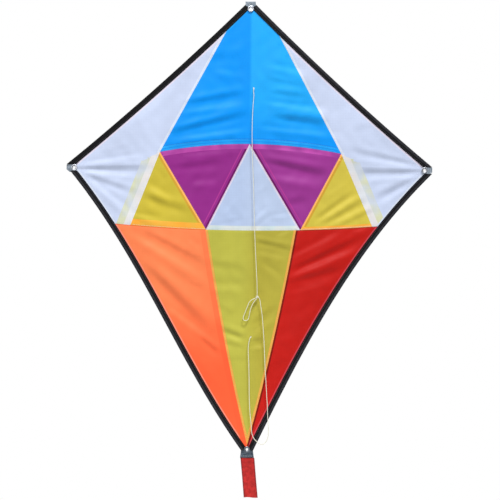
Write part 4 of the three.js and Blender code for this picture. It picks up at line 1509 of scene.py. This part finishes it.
def arm_profile(sign):
    """One arm of the cross fitting, from the sleeve out, with ribs and a rolled mouth, as (radius, X)."""
    outer = [(0.0022, 0.0030), (0.0026, 0.0042), (0.0026, 0.0062), (0.0033, 0.0078)]
    for run in np.linspace(0.0090, 0.0340, 60):
        outer.append((0.0032 + 0.00018 * math.sin(run / 0.00055), run))
    outer += [(0.0036, 0.0348), (0.0036, 0.0357), (0.0033, 0.036)]
    outer += [(0.0021, 0.036), (0.00205, 0.0094), (NEAR_AXIS, 0.0092)]
    return [(radius, sign * x) for radius, x in [(NEAR_AXIS, 0.0030), *outer]]


def hub_profile():
    """The fitting's sleeve over the spine, swollen where the arms meet it, as (radius, Z)."""
    half = 0.017
    outer = []
    for run in np.linspace(-half, half, 70):
        swell = 0.0007 * math.exp(-((run / 0.0052) ** 2))
        ribs = 0.00014 * math.sin(run / 0.0005) * smoothstep(abs(run), 0.007, 0.009)
        ease = 0.0005 * smoothstep(abs(run), half - 0.002, half)
        outer.append((0.0036 + swell + ribs - ease, TIP_Z + run))
    return [(0.00215, TIP_Z - half), *outer, (0.00215, TIP_Z + half)]


def make_cap(node, closed_high, axis, place, inner, body):
    """A cap over one end of a rod, where the CAD's cap is. Its closed end is the high or the low one."""
    low, high = (getattr(corner, axis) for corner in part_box(node))
    profile = cap_profile(inner, *((high, low) if closed_high else (low, high)))
    make_round(f"{node}_moulded", profile, axis, place, VINYL, body, node)


def make_rods():
    spine_axis, spar_axis = (0, ROD_Y, 0), (0, ROD_Y, TIP_Z)
    low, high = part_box("spine_rod")
    profile = rod_profile(SPINE_RADIUS, low.z, high.z)
    make_round("spine_tube", profile, "z", spine_axis, SPINE_GLASS, "spine", "spine_rod")
    for node, is_top in (("spine_top_cap", True), ("spine_bottom_cap", False)):
        make_cap(node, is_top, "z", spine_axis, SPINE_RADIUS + 0.0001, "spine")
    make_round("cross_sleeve", hub_profile(), "z", spine_axis, VINYL, "spine", "centre_hub")
    for side_name, side in SIDES.items():
        is_right, wing = side["sign"] > 0, f"{side_name}_wing"
        node = f"{side_name}_spar"
        low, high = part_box(node)
        profile = rod_profile(SPAR_RADIUS, *((low.x, high.x) if is_right else (high.x, low.x)))
        make_round(f"{node}_tube", profile, "x", spar_axis, SPAR_GLASS, wing, node)
        make_cap(f"{node}_cap", is_right, "x", spar_axis, SPAR_RADIUS + 0.0001, wing)
        profile, node = arm_profile(side["sign"]), f"{side_name}_spar_socket"
        arm = make_round(f"{side_name}_cross_arm", profile, "x", spar_axis, VINYL, None, node)
        bend(arm, side_name, *SOCKET_BEND)


# ---------- the ribbon ----------

RIBBON_WIDTH = 0.027
RIBBON_LEAN = 0.007
RIBBON_TUCK = 0.0065  # how far its top goes up inside the tail tab
RIBBON_THICK = 0.00035
RIBBON_GATHER = 0.16  # the share of its width that it loses there
HEM = 0.0024


def ribbon_place(place, z):
    """Where the point of the strip at a place across it and a height along it hangs."""
    hang = np.clip((RIBBON_TOP - z) / (RIBBON_TOP - RIBBON_FOOT), 0, 1)
    tuck = RIBBON_GATHER * smoothstep(z, RIBBON_TOP, RIBBON_TOP + 0.002)
    width = RIBBON_WIDTH * (1 - 0.015 * math.sin(3.1 * hang) - tuck)
    side = place / RIBBON_WIDTH - 0.5
    x = 0.001 + RIBBON_LEAN * hang + side * width
    curl = 0.0016 * hang * math.cos(side * 3.2) - 0.0007 * hang
    wave = 0.0011 * math.sin(hang * 5.3 + side * 1.4) * smoothstep(hang, 0.0, 0.25)
    hem = -0.00012 if min(place, RIBBON_WIDTH - place) < HEM else 0
    return x, curl + wave + hem, z - 0.0006 * math.sin(side * 6)


def make_ribbon():
    """A hemmed strip that hangs from inside the tail tab, leans to the right and curls a little."""
    top = RIBBON_TOP + RIBBON_TUCK
    edges = [0, HEM / 2, HEM * 0.95, HEM * 1.1]
    inner = np.linspace(0.004, RIBBON_WIDTH - 0.004, 17)
    across = np.concatenate([edges, inner, RIBBON_WIDTH - np.array(edges[::-1])])
    heights = [top + (RIBBON_FOOT - top) * share for share in np.linspace(0, 1, 64)]
    grid = [[ribbon_place(place, z) for place in across] for z in heights]
    points, faces, walls = thick_grid(grid, RIBBON_THICK)
    strips = len(across) - 1
    hems = [k % strips < 2 or k % strips >= strips - 2 for k in range(len(faces) - walls)] + [True] * walls
    piece = mesh_piece("red_ribbon", points, faces, [RIBBON, RIBBON_EDGE], hems, flat=walls)
    facing_out(piece)
    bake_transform(piece)
    dressed(piece, None, "tail_ribbon")


for half in SIDES:
    for edge_name in ("upper", "lower"):
        make_tape(half, edge_name)
    make_stitches(half)
for corner_name in CORNERS:
    make_tab(corner_name)
    make_eyelet(corner_name)
make_rods()
make_ribbon()

# ---------- stage and light ----------


FLOOR_Z = -1.1
FLOOR_RADIUS = 0.7
FLOOR_SIDES = 96
AIM = (0, 0, TIP_Z - 0.12)
# Soft lights, as place, size and power.
SOFT_LIGHTS = {
    "Fill": ((-1.6, -2.6, -0.2), 1.8, 8),
    "Sheen": ((-0.5, -2.2, 1.3), 0.9, 26),
    "Back": ((0.4, 2.4, -0.2), 1.8, 18),
}


def make_light(name, kind, power, way, place=(0, 0, 0)):
    """A light that shines the given way. Gives its data."""
    data = bpy.data.lights.new(name, kind)
    data.energy = power
    light = bpy.data.objects.new(name, data)
    light.location = place
    light.rotation_euler = Vector(way).to_track_quat("-Z", "Y").to_euler()
    bpy.context.collection.objects.link(light)
    return data


def set_world():
    """A dim bluish surround that lights the kite, and a plain white one that the camera sees."""
    world = bpy.data.worlds.new("Studio")
    bpy.context.scene.world = world
    world.use_nodes = True
    tree = world.node_tree
    ground = tree.nodes["Background"]
    shown = tree.nodes.new("ShaderNodeBackground")
    ray = tree.nodes.new("ShaderNodeLightPath")
    mix = tree.nodes.new("ShaderNodeMixShader")
    for node, colour, strength in ((ground, (0.93, 0.96, 1.0, 1), 0.22), (shown, (1, 1, 1, 1), 1.0)):
        node.inputs["Color"].default_value = colour
        node.inputs["Strength"].default_value = strength
    tree.links.new(ray.outputs["Is Camera Ray"], mix.inputs[0])
    tree.links.new(ground.outputs[0], mix.inputs[1])
    tree.links.new(shown.outputs[0], mix.inputs[2])
    tree.links.new(mix.outputs[0], tree.nodes["World Output"].inputs["Surface"])


def floor_material():
    n = Nodes("studio_floor")
    return n.finish(n.shade(linear("f2f2f0"), n.vary(3, 2, 0.98, 1.0)), 0.7)


def set_stage():
    set_world()
    sun = make_light("Key", "SUN", 3.2, (-0.25, 0.45, -0.9))
    sun.angle = math.radians(14)
    for name, (place, size, power) in SOFT_LIGHTS.items():
        make_light(name, "AREA", power, Vector(AIM) - Vector(place), place).size = size
    bpy.context.scene.view_settings.view_transform = "Standard"
    floor_points = [(*p, FLOOR_Z) for p in circle(FLOOR_RADIUS, FLOOR_SIDES)]
    floor = mesh_piece("Floor", floor_points, [tuple(range(FLOOR_SIDES))], [floor_material()])


set_stage()
